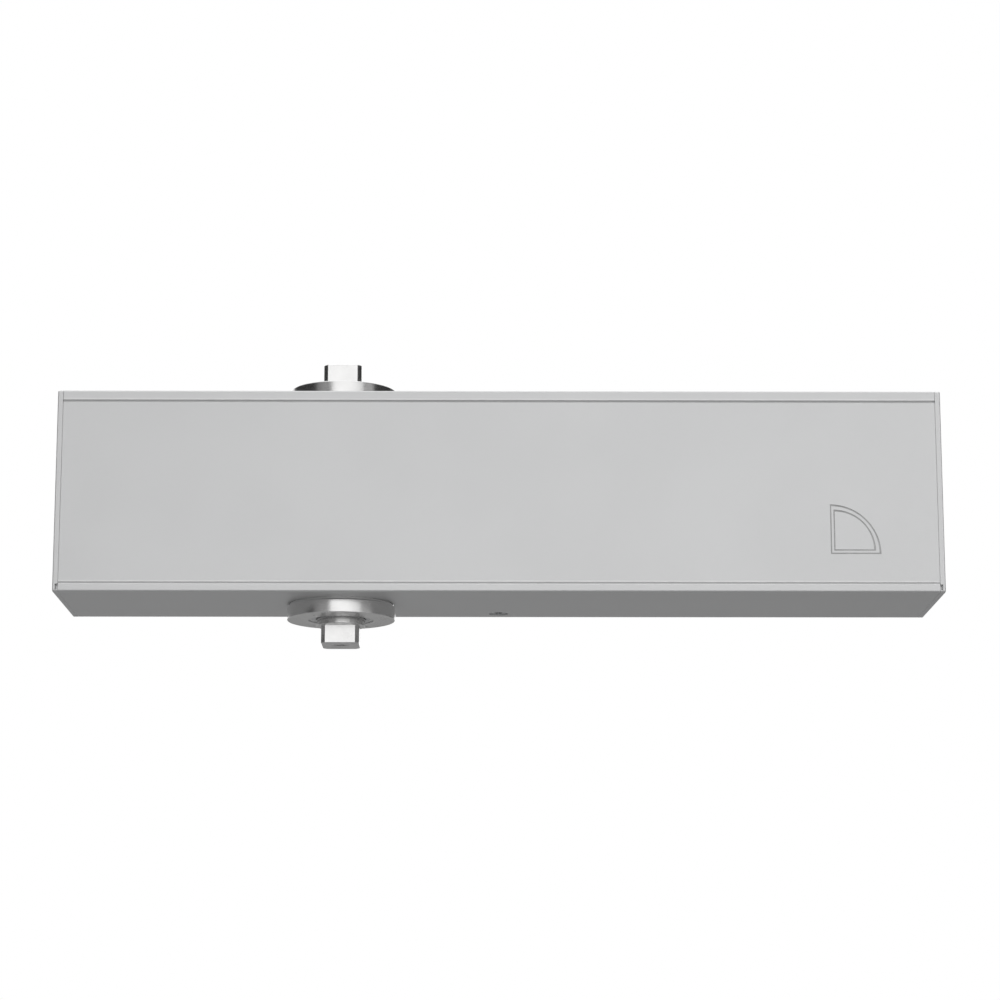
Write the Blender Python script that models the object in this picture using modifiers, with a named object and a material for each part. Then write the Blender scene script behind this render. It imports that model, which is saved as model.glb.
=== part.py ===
"""Door closer: a hydraulic rack-and-pinion closer under a full-length aluminium cover.

Units are metres. The origin lies on the mounting face, straight behind the spindle at mid height. +X runs
along the closer towards its spring, +Y points into the door and +Z points up. The piston, its rack and the
spring move along X. The pinion shaft, which the arm fits on at either end, turns about Z.
"""

import math

import bmesh
import bpy

# --- Driving dimensions -----------------------------------------------------------------------------------

# Overall
COVER_LENGTH = 0.254  # over both end caps
BORE_RADIUS = 0.017  # of the cylinder that the piston runs in; height and depth follow from it

# Clearances
RUN = 0.00015  # between pieces that slide or turn on each other
FIT = 0.0003  # between pieces that stay still on each other

# Rack and pinion
MODULE = 0.002
TEETH = 10
PRESSURE_ANGLE = math.radians(25.0)
ADDENDUM = 0.0016
DEDENDUM = 0.0021
BACKLASH = 0.0003
OPENING = math.radians(180.0)  # how far the arm can turn the pinion

# Pinion shaft
JOURNAL_RADIUS = 0.007
SHOULDER_STEP = 0.002  # from the journal out to the shoulder that the bearing stops on
SQUARE_SIZE = 0.011  # across the flats of each end
SQUARE_LENGTH = 0.0057
SHANK_STAND = 0.0017  # round shank that shows between the cap nut and the square
SHAFT_CHAMFER = 0.0004
TAPPED_RADIUS = 0.0025  # for the M6 screw that holds the arm
TAPPED_DEPTH = 0.014
TAPPED_MOUTH = 0.0005

# Piston
PISTON_LEFT_HEAD = 0.014
PISTON_RIGHT_HEAD = 0.0125
SLOT_RUNOUT = 0.0015  # beyond the pinion's tips at each end of the stroke
RING_WIDTH = 0.0025
RING_DEPTH = 0.002
RING_PLACE = 0.004  # from the left face of the piston
RING_GAP_WIDTH = 0.0006  # the split that lets the ring spring open

# Check valve in the left head
BALL_RADIUS = 0.0025
BALL_LIFT = 0.0012
BALL_PASSAGE_RADIUS = 0.0016
RETAINER_LENGTH = 0.002
RETAINER_HOLE_RADIUS = 0.0012
BALL_SEAT_GAP = 0.0001

# Spring
WIRE_RADIUS = 0.0024
SPRING_CLEARANCE = 0.001  # between the coil and the cylinder
SPARE_PITCH = 1.3  # shortest pitch, in wire diameters, when the spring is fully pressed
END_PITCH = 0.0052  # pitch of the closed turn at each end
SEAT_THICKNESS = 0.0028
SEAT_SPIGOT_LENGTH = 0.0053

# Body casting
BARREL_WALL = 0.0035
BARREL_SETBACK = 0.0015  # between the barrel and the door
PLATE_THICKNESS = 0.008
PLATE_EDGE = 0.0016  # beyond the speed valves' galleries
LUG_WIDTH = 0.016
LUG_INSET = 0.0007  # between the lugs and the cover
LUG_EDGE = 0.0044  # from the centre of a fixing hole to the lug's edge
LUG_HOLE_RADIUS = 0.00275
SEAT_STAND = 0.001  # of the round seats for the screws' heads
BOSS_WALL = 0.0055  # round the cap nuts' threads
PLUG_LENGTH = 0.012
PLUG_SEAT = 0.00105  # how much wider the plug's seat is than the cylinder
LEFT_CHAMBER = 0.0015  # oil space left of the piston when the door is shut

# Spindle bearings and cap nuts
BEARING_LENGTH = 0.006
BEARING_WALL = 0.0018  # thinnest wall of a race
ROLLERS = 9
ROLLER_RADIUS = 0.00125
ROLLER_RUN = 0.0002  # between the rollers and what they roll on
CAGE_WALL = 0.0015
CAGE_END = 0.0006  # cage beyond each roller's end
NUT_STEP = 0.002  # from the bearing out to the nut's thread
NUT_SPIGOT_LENGTH = 0.004
NUT_RIM = 0.0017  # from the thread out to the nut's rim
NUT_STAND = 0.0048  # beyond the cover
NUT_EDGE = 0.0006
NUT_BORE_GAP = 0.0004
SEAL_WALL = 0.003
SEAL_LENGTH = 0.0032
SPANNER_HOLE_RADIUS = 0.0012
SPANNER_HOLE_DEPTH = 0.003
SPANNER_HOLE_ANGLE = math.radians(56.0)

# O-rings: the radius of the ring's own section
NUT_RING = 0.00075
PLUG_RING = 0.0008
VALVE_RING = 0.00045
GROOVE_SIDE = 0.00035  # space beside an O-ring in its groove

# Speed valves, in the left end of the body
VALVE_RADIUS = 0.0026
VALVE_FROM_DOOR = 0.0052
VALVE_WALL = 0.0009  # between a gallery and the plug's seat
VALVE_BODY_LENGTH = 0.012
VALVE_LENGTH = 0.022
VALVE_INSET = 0.0004
VALVE_SLOT_WIDTH = 0.0008
VALVE_SLOT_DEPTH = 0.0012
NEEDLE_RADIUS = 0.0012
NEEDLE_TIP_RADIUS = 0.0005
NEEDLE_CONE_LENGTH = 0.0055
VALVE_GROOVE_PLACE = 0.0087
GALLERY_DEPTH = 0.015
ORIFICE_RADIUS = 0.0016
ORIFICE_DEPTH = 0.024
PORT_RADIUS = 0.0012
PORT_PLACES = (0.013, 0.022)  # from the left end of the body
PORT_SEGMENTS = 8

# Cover and end caps
COVER_WALL = 0.0015
COVER_AIR = 0.0005  # between the cover and the body
COVER_REAR_GAP = 0.0005  # between the cover's rear edges and the door
COVER_EDGE = 0.0006
GROOVE_WIDTH = 0.0006
GROOVE_DEPTH = 0.0005
GROOVE_INSET = 0.0029  # from the cover's top and bottom to the middle of each groove
CAP_THICKNESS = 0.0013
CAP_AIR = 0.0077  # between the end caps and the body
CAP_SPIGOT_LENGTH = 0.0055
CAP_SPIGOT_WALL = 0.0012

# Cover screw, in the underside at the middle of the cover
SCREW_HEAD_RADIUS = 0.0025
SCREW_HEAD_HEIGHT = 0.002
SCREW_SHANK_RADIUS = 0.0019
SCREW_LENGTH = 0.008
SCREW_FROM_DOOR = 0.006
SCREW_INSET = 0.0003
SCREW_SOCKET = 0.00125  # corner radius of its hexagon socket
SCREW_SOCKET_DEPTH = 0.0012
SCREW_BOSS_RADIUS = 0.004
SCREW_BOSS_ROOT = 0.0165

# Plug sockets
PLUG_SOCKET = 0.0058
PLUG_SOCKET_DEPTH = 0.006

# Facets round each size of circle
LARGE = 36
MEDIUM = 24
SMALL = 12
TINY = 10
MERGE = 0.000001
OVERRUN = 0.002  # how far a cutter passes through the face that it opens
ROLLER_SEGMENTS = 8
FLANK_STEPS = 5
CORNER_STEPS = 3
COIL_POINTS = 10  # in one turn of the spring
RING_SIDES = 6  # round an O-ring's own section
SHARP = math.radians(40.0)
FLAT = math.radians(0.1)

# --- Derived sizes ----------------------------------------------------------------------------------------

PITCH = math.pi * MODULE
PITCH_RADIUS = MODULE * TEETH / 2
TIP_RADIUS = PITCH_RADIUS + ADDENDUM
ROOT_RADIUS = PITCH_RADIUS - DEDENDUM
BASE_RADIUS = PITCH_RADIUS * math.cos(PRESSURE_ANGLE)
STROKE = OPENING * PITCH_RADIUS
PISTON_RADIUS = BORE_RADIUS - RUN

# Along X, from the spindle
SLOT_RIGHT = TIP_RADIUS + SLOT_RUNOUT
SLOT_LEFT = -SLOT_RIGHT - STROKE
PISTON_LEFT = SLOT_LEFT - PISTON_LEFT_HEAD
PISTON_RIGHT = SLOT_RIGHT + PISTON_RIGHT_HEAD
LEFT_PLUG_FACE = PISTON_LEFT - LEFT_CHAMBER
BODY_LEFT = LEFT_PLUG_FACE - PLUG_LENGTH
COVER_LEFT = BODY_LEFT - CAP_AIR - CAP_THICKNESS
COVER_RIGHT = COVER_LEFT + COVER_LENGTH
COVER_MIDDLE = (COVER_LEFT + COVER_RIGHT) / 2
BODY_RIGHT = COVER_RIGHT - CAP_THICKNESS - CAP_AIR
RIGHT_PLUG_FACE = BODY_RIGHT - PLUG_LENGTH
SEAT_LEFT = PISTON_RIGHT + FIT
SPRING_LEFT = SEAT_LEFT + SEAT_THICKNESS + FIT + WIRE_RADIUS
SPRING_RIGHT = RIGHT_PLUG_FACE - FIT - WIRE_RADIUS

# Along Y, from the door
BARREL_RADIUS = BORE_RADIUS + BARREL_WALL
AXIS_Y = -(BARREL_SETBACK + BARREL_RADIUS)
COVER_FRONT = AXIS_Y - BARREL_RADIUS - COVER_AIR - COVER_WALL
COVER_REAR = -COVER_REAR_GAP

# Along Z, from the middle
RACK_HALF_WIDTH = math.sqrt(PISTON_RADIUS**2 - (PITCH_RADIUS - ADDENDUM) ** 2)
TOOTH_HALF_WIDTH = RACK_HALF_WIDTH + FIT
SHOULDER_HEIGHT = BORE_RADIUS - ROLLER_RUN
BEARING_BOTTOM = SHOULDER_HEIGHT + FIT
BEARING_TOP = BEARING_BOTTOM + BEARING_LENGTH
NUT_BOTTOM = BEARING_TOP + FIT
BOSS_HEIGHT = NUT_BOTTOM + NUT_SPIGOT_LENGTH
NUT_FLANGE = BOSS_HEIGHT + FIT
COVER_INNER = BOSS_HEIGHT + COVER_AIR
COVER_HALF_HEIGHT = COVER_INNER + COVER_WALL
NUT_TOP = COVER_HALF_HEIGHT + NUT_STAND
SQUARE_START = NUT_TOP + SHANK_STAND
SHAFT_TOP = SQUARE_START + SQUARE_LENGTH
LUG_REACH = COVER_INNER - LUG_INSET
LUG_HOLE_HEIGHT = LUG_REACH - LUG_EDGE

# Round the spindle: the pinion goes in through the bearing's seat, so the seat clears its tips
SHOULDER_RADIUS = JOURNAL_RADIUS + SHOULDER_STEP
ROLLER_CIRCLE = JOURNAL_RADIUS + ROLLER_RUN + ROLLER_RADIUS
RACE_BORE = ROLLER_CIRCLE + ROLLER_RADIUS + ROLLER_RUN
BEARING_RADIUS = max(RACE_BORE + BEARING_WALL, TIP_RADIUS) + FIT
RACE_RADIUS = BEARING_RADIUS - FIT
NUT_THREAD_RADIUS = BEARING_RADIUS + NUT_STEP
NUT_RADIUS = NUT_THREAD_RADIUS + NUT_RIM
NUT_BORE_RADIUS = JOURNAL_RADIUS + NUT_BORE_GAP
SPIGOT_RADIUS = NUT_THREAD_RADIUS - FIT
SPANNER_HOLE_CIRCLE = (NUT_BORE_RADIUS + NUT_RADIUS) / 2
SEAL_RADIUS = JOURNAL_RADIUS + RUN + SEAL_WALL
BOSS_RADIUS = min(NUT_THREAD_RADIUS + BOSS_WALL, BARREL_RADIUS)

# Round the cylinder
PLUG_SEAT_RADIUS = BORE_RADIUS + PLUG_SEAT
SPRING_RADIUS = BORE_RADIUS - SPRING_CLEARANCE - WIRE_RADIUS
GALLERY_RADIUS = VALVE_RADIUS + FIT
VALVE_DISTANCE = PLUG_SEAT_RADIUS + VALVE_WALL + GALLERY_RADIUS  # from the cylinder's axis
VALVE_HEIGHT = math.sqrt(VALVE_DISTANCE**2 - (AXIS_Y + VALVE_FROM_DOOR) ** 2)
PLATE_HALF_HEIGHT = VALVE_HEIGHT + GALLERY_RADIUS + PLATE_EDGE
BALL_CHAMBER_RADIUS = BALL_RADIUS + FIT
BALL_SEAT = PISTON_LEFT + FIT + RETAINER_LENGTH + FIT + BALL_LIFT + 2 * BALL_RADIUS + BALL_SEAT_GAP

# Directions: how a piece turned about its own Z axis is laid in the closer
UP = (0.0, 0.0, 0.0)
DOWN = (math.pi, 0.0, 0.0)
RIGHT = (0.0, math.pi / 2, 0.0)
LEFT = (0.0, -math.pi / 2, 0.0)
INTO_DOOR = (-math.pi / 2, 0.0, 0.0)
SECTION_ALONG_X = (math.pi / 2, 0.0, math.pi / 2)  # an outline's x and y become Y and Z
OUTLINE_ALONG_Y = (math.pi / 2, 0.0, 0.0)  # an outline's x and y become X and Z

# Finishes: colour, roughness, metallic
FINISHES = {
    "anodised_silver": ((0.58, 0.585, 0.575, 1.0), 0.42, 1.0),
    "cast_aluminium": ((0.42, 0.42, 0.41, 1.0), 0.6, 1.0),
    "satin_steel": ((0.55, 0.54, 0.53, 1.0), 0.33, 1.0),
    "ground_steel": ((0.62, 0.61, 0.6, 1.0), 0.2, 1.0),
    "spring_steel": ((0.16, 0.155, 0.15, 1.0), 0.45, 1.0),
    "zinc_plated": ((0.5, 0.5, 0.49, 1.0), 0.35, 1.0),
    "brass": ((0.6, 0.43, 0.2, 1.0), 0.3, 1.0),
    "black_rubber": ((0.02, 0.02, 0.02, 1.0), 0.7, 0.0),
}


# --- Tools ------------------------------------------------------------------------------------------------


def clear_scene():
    for old in list(bpy.data.objects):
        bpy.data.objects.remove(old, do_unlink=True)


def new_collection(name):
    made = bpy.data.collections.new(name)
    bpy.context.scene.collection.children.link(made)
    return made


def finish_material(finish):
    """The Principled material of one finish, made the first time that it is asked for."""
    if finish in bpy.data.materials:
        return bpy.data.materials[finish]
    colour, roughness, metallic = FINISHES[finish]
    made = bpy.data.materials.new(finish)
    made.use_nodes = True
    shader = made.node_tree.nodes["Principled BSDF"]
    shader.inputs["Base Color"].default_value = colour
    shader.inputs["Roughness"].default_value = roughness
    shader.inputs["Metallic"].default_value = metallic
    made.diffuse_color = colour
    return made


def place(name, data, finish, at, turn, parent):
    """Puts data in the scene: as a sub-part if it has a finish, and as a cutter if it has none."""
    piece = bpy.data.objects.new(name, data)
    piece.location = at
    piece.rotation_euler = turn
    piece.parent = parent
    if finish is None:
        bpy.data.collections["cutters"].objects.link(piece)
        piece.hide_render = True
        piece.display_type = "WIRE"
    else:
        bpy.data.collections["door_closer"].objects.link(piece)
        data.materials.append(finish_material(finish))
    return piece


def axis_empty(name, at):
    """An empty on a joint's axis, which the pieces there are parented to."""
    empty = bpy.data.objects.new(name, None)
    empty.location = at
    empty.empty_display_size = BORE_RADIUS
    bpy.data.collections["door_closer"].objects.link(empty)
    return empty


def smooth(piece):
    if piece.type == "MESH" and len(piece.data.polygons):
        piece.data.shade_smooth()
        piece.data.set_sharp_from_angle(angle=SHARP)


def box(name, low, high, finish=None, parent=None):
    """A box between two corners."""
    work = bmesh.new()
    bmesh.ops.create_cube(work, size=1.0)
    size = [top - bottom for bottom, top in zip(low, high)]
    bmesh.ops.scale(work, vec=size, verts=work.verts)
    mesh = bpy.data.meshes.new(name)
    work.to_mesh(mesh)
    work.free()
    middle = [(bottom + top) / 2 for bottom, top in zip(low, high)]
    return place(name, mesh, finish, middle, UP, parent)


def cylinder(name, radius, length, at, turn, segments=SMALL, finish=None, parent=None):
    """A cylinder centred on a point, its length along its own Z axis."""
    work = bmesh.new()
    bmesh.ops.create_cone(
        work,
        cap_ends=True,
        segments=segments,
        radius1=radius,
        radius2=radius,
        depth=length,
    )
    mesh = bpy.data.meshes.new(name)
    work.to_mesh(mesh)
    work.free()
    piece = place(name, mesh, finish, at, turn, parent)
    smooth(piece)
    return piece


def turned(name, profile, finish=None, at=(0.0, 0.0, 0.0), turn=UP, segments=LARGE, parent=None):
    """A piece turned about its own Z axis from (radius, height) points that run down its outer side.

    A profile that starts on the axis makes a solid, and any other is closed into a ring.
    """
    points = [(radius, 0.0, height) for radius, height in profile]
    edges = [(start, start + 1) for start in range(len(points) - 1)]
    if profile[0][0] > 0.0:
        edges.append((len(points) - 1, 0))
    mesh = bpy.data.meshes.new(name)
    mesh.from_pydata(points, edges, [])
    piece = place(name, mesh, finish, at, turn, parent)
    screw = piece.modifiers.new("turn", "SCREW")
    screw.steps = segments
    screw.render_steps = segments
    screw.use_merge_vertices = True
    screw.merge_threshold = MERGE
    screw.use_smooth_shade = True
    return piece


def outline(name, points, depth, finish=None, at=(0.0, 0.0, 0.0), turn=UP, parent=None):
    """A flat outline with an extrusion centred on its plane, as a mesh that can be cut and joined."""
    curve = bpy.data.curves.new(name, "CURVE")
    curve.dimensions = "2D"
    curve.fill_mode = "BOTH"
    curve.extrude = depth / 2
    spline = curve.splines.new("POLY")
    spline.points.add(len(points) - 1)
    for point, (across, up) in zip(spline.points, points):
        point.co = (across, up, 0.0, 1.0)
    spline.use_cyclic_u = True
    drawn = bpy.data.objects.new(name, curve)
    bpy.context.scene.collection.objects.link(drawn)
    graph = bpy.context.evaluated_depsgraph_get()
    mesh = bpy.data.meshes.new_from_object(drawn.evaluated_get(graph))
    bpy.data.objects.remove(drawn)
    bpy.data.curves.remove(curve)
    work = bmesh.new()
    work.from_mesh(mesh)
    bmesh.ops.remove_doubles(work, verts=work.verts, dist=MERGE)
    bmesh.ops.dissolve_limit(work, angle_limit=FLAT, verts=work.verts, edges=work.edges)
    bmesh.ops.recalc_face_normals(work, faces=work.faces)
    work.to_mesh(mesh)
    work.free()
    mesh.name = name
    piece = place(name, mesh, finish, at, turn, parent)
    smooth(piece)
    return piece


def boolean(piece, other, operation):
    modifier = piece.modifiers.new(other.name, "BOOLEAN")
    modifier.operation = operation
    modifier.solver = "EXACT"
    modifier.object = other


def cut(piece, *cutters):
    for cutter in cutters:
        boolean(piece, cutter, "DIFFERENCE")


def join(piece, *additions):
    for addition in additions:
        boolean(piece, addition, "UNION")


def arc(centre, radius, start, end, steps):
    """Points on an arc, from one angle to the other in degrees."""
    points = []
    for step in range(steps + 1):
        angle = math.radians(start + (end - start) * step / steps)
        points.append((centre[0] + radius * math.cos(angle), centre[1] + radius * math.sin(angle)))
    return points


def mirrored(points):
    """Points followed by their mirror images across the outline's x axis, in the order of one loop."""
    return points + [(across, -up) for across, up in reversed(points)]


def o_ring(name, circle, section, at, turn, segments, parent=None):
    """A rubber ring: its section is a polygon that runs down its outer side."""
    profile = []
    for side in range(RING_SIDES):
        angle = math.pi / 2 - (side + 0.5) * math.tau / RING_SIDES
        profile.append((circle + section * math.cos(angle), section * math.sin(angle)))
    return turned(name, profile, "black_rubber", at, turn, segments, parent)


# --- Body casting -----------------------------------------------------------------------------------------


def body_plate():
    """The flat back of the casting, with a lug at each corner for the fixing screws."""
    inset = COVER_AIR
    left, right = BODY_LEFT + inset, BODY_RIGHT - inset
    upper = [
        (left, LUG_REACH),
        (left + LUG_WIDTH, LUG_REACH),
        (left + LUG_WIDTH, PLATE_HALF_HEIGHT),
        (right - LUG_WIDTH, PLATE_HALF_HEIGHT),
        (right - LUG_WIDTH, LUG_REACH),
        (right, LUG_REACH),
    ]
    middle = (0.0, -PLATE_THICKNESS / 2, 0.0)
    points = mirrored(upper)
    return outline("closer_body", points, PLATE_THICKNESS, "cast_aluminium", middle, OUTLINE_ALONG_Y)


def body_bores():
    """Cutters for the cylinder with its plug seats and for the spindle's bearings and nuts."""
    middle = (0.0, AXIS_Y, 0.0)
    cylinder_profile = [
        (0.0, BODY_RIGHT + OVERRUN),
        (PLUG_SEAT_RADIUS, BODY_RIGHT + OVERRUN),
        (PLUG_SEAT_RADIUS, RIGHT_PLUG_FACE - FIT),
        (BORE_RADIUS, RIGHT_PLUG_FACE - FIT),
        (BORE_RADIUS, LEFT_PLUG_FACE + FIT),
        (PLUG_SEAT_RADIUS, LEFT_PLUG_FACE + FIT),
        (PLUG_SEAT_RADIUS, BODY_LEFT - OVERRUN),
        (0.0, BODY_LEFT - OVERRUN),
    ]
    spindle_profile = [
        (0.0, BOSS_HEIGHT + OVERRUN),
        (NUT_THREAD_RADIUS, BOSS_HEIGHT + OVERRUN),
        (NUT_THREAD_RADIUS, NUT_BOTTOM - FIT),
        (BEARING_RADIUS, NUT_BOTTOM - FIT),
        (BEARING_RADIUS, -NUT_BOTTOM + FIT),
        (NUT_THREAD_RADIUS, -NUT_BOTTOM + FIT),
        (NUT_THREAD_RADIUS, -BOSS_HEIGHT - OVERRUN),
        (0.0, -BOSS_HEIGHT - OVERRUN),
    ]
    return (
        turned("cylinder_cutter", cylinder_profile, at=middle, turn=RIGHT),
        turned("spindle_cutter", spindle_profile, at=middle),
    )


def lug_hole_places():
    """(x, z) of the four fixing holes."""
    left = BODY_LEFT + COVER_AIR + LUG_WIDTH / 2
    right = BODY_RIGHT - COVER_AIR - LUG_WIDTH / 2
    return [(x, side * LUG_HOLE_HEIGHT) for x in (left, right) for side in (1, -1)]


def valve_passages(name, height):
    """Cutters for one speed valve: its gallery and orifice, and the two ports into the cylinder."""
    profile = [
        (0.0, ORIFICE_DEPTH),
        (ORIFICE_RADIUS, ORIFICE_DEPTH),
        (ORIFICE_RADIUS, GALLERY_DEPTH),
        (GALLERY_RADIUS, GALLERY_DEPTH),
        (GALLERY_RADIUS, -OVERRUN),
        (0.0, -OVERRUN),
    ]
    mouth = (BODY_LEFT, -VALVE_FROM_DOOR, height)
    cutters = [turned(name + "_gallery", profile, at=mouth, turn=RIGHT, segments=SMALL)]
    port_end = AXIS_Y + math.sqrt(BORE_RADIUS**2 - VALVE_HEIGHT**2) - OVERRUN
    length = -VALVE_FROM_DOOR - port_end
    for number, place_x in enumerate(PORT_PLACES, 1):
        middle = (BODY_LEFT + place_x, port_end + length / 2, height)
        port = cylinder(f"{name}_port_{number}", PORT_RADIUS, length, middle, INTO_DOOR, PORT_SEGMENTS)
        cutters.append(port)
    return cutters


def make_body():
    body = body_plate()
    middle = (0.0, AXIS_Y, 0.0)
    barrel_middle = ((BODY_LEFT + BODY_RIGHT) / 2, AXIS_Y, 0.0)
    barrel = cylinder(
        "barrel", BARREL_RADIUS, BODY_RIGHT - BODY_LEFT, barrel_middle, RIGHT, LARGE
    )
    boss = cylinder("spindle_boss", BOSS_RADIUS, 2 * BOSS_HEIGHT, middle, UP, LARGE)
    screw_boss_length = BOSS_HEIGHT - SCREW_BOSS_ROOT
    screw_boss = cylinder(
        "screw_boss",
        SCREW_BOSS_RADIUS,
        screw_boss_length,
        (COVER_MIDDLE, -SCREW_FROM_DOOR, -BOSS_HEIGHT + screw_boss_length / 2),
        UP,
    )
    join(body, barrel, boss, screw_boss)
    cut(body, *body_bores())
    for number, (x, z) in enumerate(lug_hole_places(), 1):
        depth = PLATE_THICKNESS / 2 + SEAT_STAND
        seat_at = (x, -PLATE_THICKNESS / 2 - depth / 2, z)
        join(body, cylinder(f"lug_seat_{number}", LUG_EDGE - FIT, depth, seat_at, INTO_DOOR))
        length = PLATE_THICKNESS + SEAT_STAND + 2 * OVERRUN
        at = (x, -PLATE_THICKNESS / 2, z)
        cut(body, cylinder(f"lug_hole_{number}", LUG_HOLE_RADIUS, length, at, INTO_DOOR))
    cut(body, *valve_passages("closing", VALVE_HEIGHT))
    cut(body, *valve_passages("latching", -VALVE_HEIGHT))
    screw_hole_depth = SCREW_LENGTH + FIT - (COVER_HALF_HEIGHT - SCREW_INSET - BOSS_HEIGHT)
    cut(
        body,
        cylinder(
            "screw_hole",
            SCREW_SHANK_RADIUS + FIT,
            2 * screw_hole_depth,
            (COVER_MIDDLE, -SCREW_FROM_DOOR, -BOSS_HEIGHT),
            UP,
            TINY,
        ),
    )


# --- Pinion shaft -----------------------------------------------------------------------------------------


def involute(radius):
    """The angle that an involute has unrolled by at a radius outside its base circle."""
    pressure = math.acos(BASE_RADIUS / radius)
    return math.tan(pressure) - pressure


def tooth_points(middle_angle):
    """One tooth: up one involute flank and down the other."""
    thickness = PITCH / 2 - BACKLASH / 2
    half_at_pitch = thickness / 2 / PITCH_RADIUS
    half_at_base = half_at_pitch + involute(PITCH_RADIUS)
    side = [(ROOT_RADIUS, half_at_base)]
    for step in range(FLANK_STEPS + 1):
        radius = BASE_RADIUS + (TIP_RADIUS - BASE_RADIUS) * step / FLANK_STEPS
        side.append((radius, half_at_base - involute(radius)))
    points = [(radius, -half) for radius, half in side] + list(reversed(side))
    return [
        (radius * math.cos(middle_angle + angle), radius * math.sin(middle_angle + angle))
        for radius, angle in points
    ]


def square_end(name, side):
    """The square on one end: the shaft's own round shows at its corners. It starts inside the shank."""
    half = SQUARE_SIZE / 2
    corner = min(JOURNAL_RADIUS, half * math.sqrt(2))
    start = math.degrees(math.acos(half / corner))
    points = []
    for quarter in range(4):
        points += arc((0.0, 0.0), corner, 90.0 * quarter + start, 90.0 * (quarter + 1) - start, CORNER_STEPS)
    overlap = SHANK_STAND / 2
    length = SQUARE_LENGTH + overlap
    at = (0.0, AXIS_Y, side * (SHAFT_TOP - length / 2))
    return outline(name, points, length, at=at)


def tapped_hole_cutter(name, side):
    """The tapped hole in one end, with its countersunk mouth."""
    mouth = TAPPED_RADIUS + TAPPED_MOUTH
    profile = [
        (0.0, OVERRUN),
        (mouth, OVERRUN),
        (mouth, 0.0),
        (TAPPED_RADIUS, -TAPPED_MOUTH),
        (TAPPED_RADIUS, -TAPPED_DEPTH),
        (0.0, -TAPPED_DEPTH - TAPPED_RADIUS / 2),
    ]
    at = (0.0, AXIS_Y, side * SHAFT_TOP)
    return turned(name, profile, at=at, turn=UP if side > 0 else DOWN, segments=SMALL)


def make_pinion_shaft(axis):
    inner = TOOTH_HALF_WIDTH - FIT
    core = ROOT_RADIUS - SHAFT_CHAMFER
    upper = [
        (0.0, SQUARE_START),
        (JOURNAL_RADIUS - SHAFT_CHAMFER, SQUARE_START),
        (JOURNAL_RADIUS, SQUARE_START - SHAFT_CHAMFER),
        (JOURNAL_RADIUS, SHOULDER_HEIGHT),
        (SHOULDER_RADIUS, SHOULDER_HEIGHT),
        (SHOULDER_RADIUS, inner),
        (core, inner),
    ]
    shaft = turned("pinion_shaft", mirrored(upper), "satin_steel", segments=MEDIUM, parent=axis)
    gear_points = []
    for tooth in range(TEETH):
        gear_points += tooth_points(-math.pi / 2 + tooth * math.tau / TEETH)
    middle = (0.0, AXIS_Y, 0.0)
    join(shaft, outline("gear_teeth", gear_points, 2 * TOOTH_HALF_WIDTH, at=middle))
    for end, side in (("top", 1), ("bottom", -1)):
        join(shaft, square_end(end + "_square", side))
        cut(shaft, tapped_hole_cutter(end + "_tapped_hole", side))


# --- Piston and spring ------------------------------------------------------------------------------------


def slot_points():
    """The piston's slot seen from above, about the spindle: its door side is plain, and the other is the rack."""
    slope = math.tan(PRESSURE_ANGLE)
    half = PITCH / 4 + BACKLASH / 4
    at_root = half - DEDENDUM * slope
    at_tip = half + ADDENDUM * slope
    tip = -(PITCH_RADIUS - ADDENDUM)
    root = -(PITCH_RADIUS + DEDENDUM)
    spaces = round(STROKE / PITCH) + 3
    points = [(SLOT_LEFT, -root), (SLOT_LEFT, tip)]
    for number in range(spaces):
        middle = (number - spaces + 2) * PITCH
        points += [
            (middle - at_tip, tip),
            (middle - at_root, root),
            (middle + at_root, root),
            (middle + at_tip, tip),
        ]
    return points + [(SLOT_RIGHT, tip), (SLOT_RIGHT, -root)]


def make_piston(axis):
    groove = PISTON_LEFT + RING_PLACE
    bottom = PISTON_RADIUS - RING_DEPTH - FIT
    profile = [
        (0.0, PISTON_RIGHT),
        (PISTON_RADIUS, PISTON_RIGHT),
        (PISTON_RADIUS, groove + RING_WIDTH + FIT),
        (bottom, groove + RING_WIDTH + FIT),
        (bottom, groove - FIT),
        (PISTON_RADIUS, groove - FIT),
        (PISTON_RADIUS, PISTON_LEFT),
        (0.0, PISTON_LEFT),
    ]
    piston = turned("piston", profile, "ground_steel", turn=RIGHT, parent=axis)
    middle = (0.0, AXIS_Y, 0.0)
    cut(piston, outline("rack_slot", slot_points(), 4 * BORE_RADIUS, at=middle))
    passage = [
        (0.0, SLOT_LEFT + OVERRUN),
        (BALL_PASSAGE_RADIUS, SLOT_LEFT + OVERRUN),
        (BALL_PASSAGE_RADIUS, BALL_SEAT),
        (BALL_CHAMBER_RADIUS, BALL_SEAT),
        (BALL_CHAMBER_RADIUS, PISTON_LEFT - OVERRUN),
        (0.0, PISTON_LEFT - OVERRUN),
    ]
    cut(piston, turned("ball_chamber", passage, at=middle, turn=RIGHT, segments=SMALL))


def make_piston_ring(axis):
    """A split ring in the groove of the left head."""
    left = PISTON_LEFT + RING_PLACE
    profile = [
        (PISTON_RADIUS, left + RING_WIDTH),
        (PISTON_RADIUS, left),
        (PISTON_RADIUS - RING_DEPTH, left),
        (PISTON_RADIUS - RING_DEPTH, left + RING_WIDTH),
    ]
    ring = turned("piston_ring", profile, "black_rubber", turn=RIGHT, parent=axis)
    half = RING_GAP_WIDTH / 2
    low = (left - OVERRUN, AXIS_Y - half, PISTON_RADIUS - RING_DEPTH - OVERRUN)
    high = (left + RING_WIDTH + OVERRUN, AXIS_Y + half, PISTON_RADIUS + OVERRUN)
    cut(ring, box("ring_split", low, high))


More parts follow.
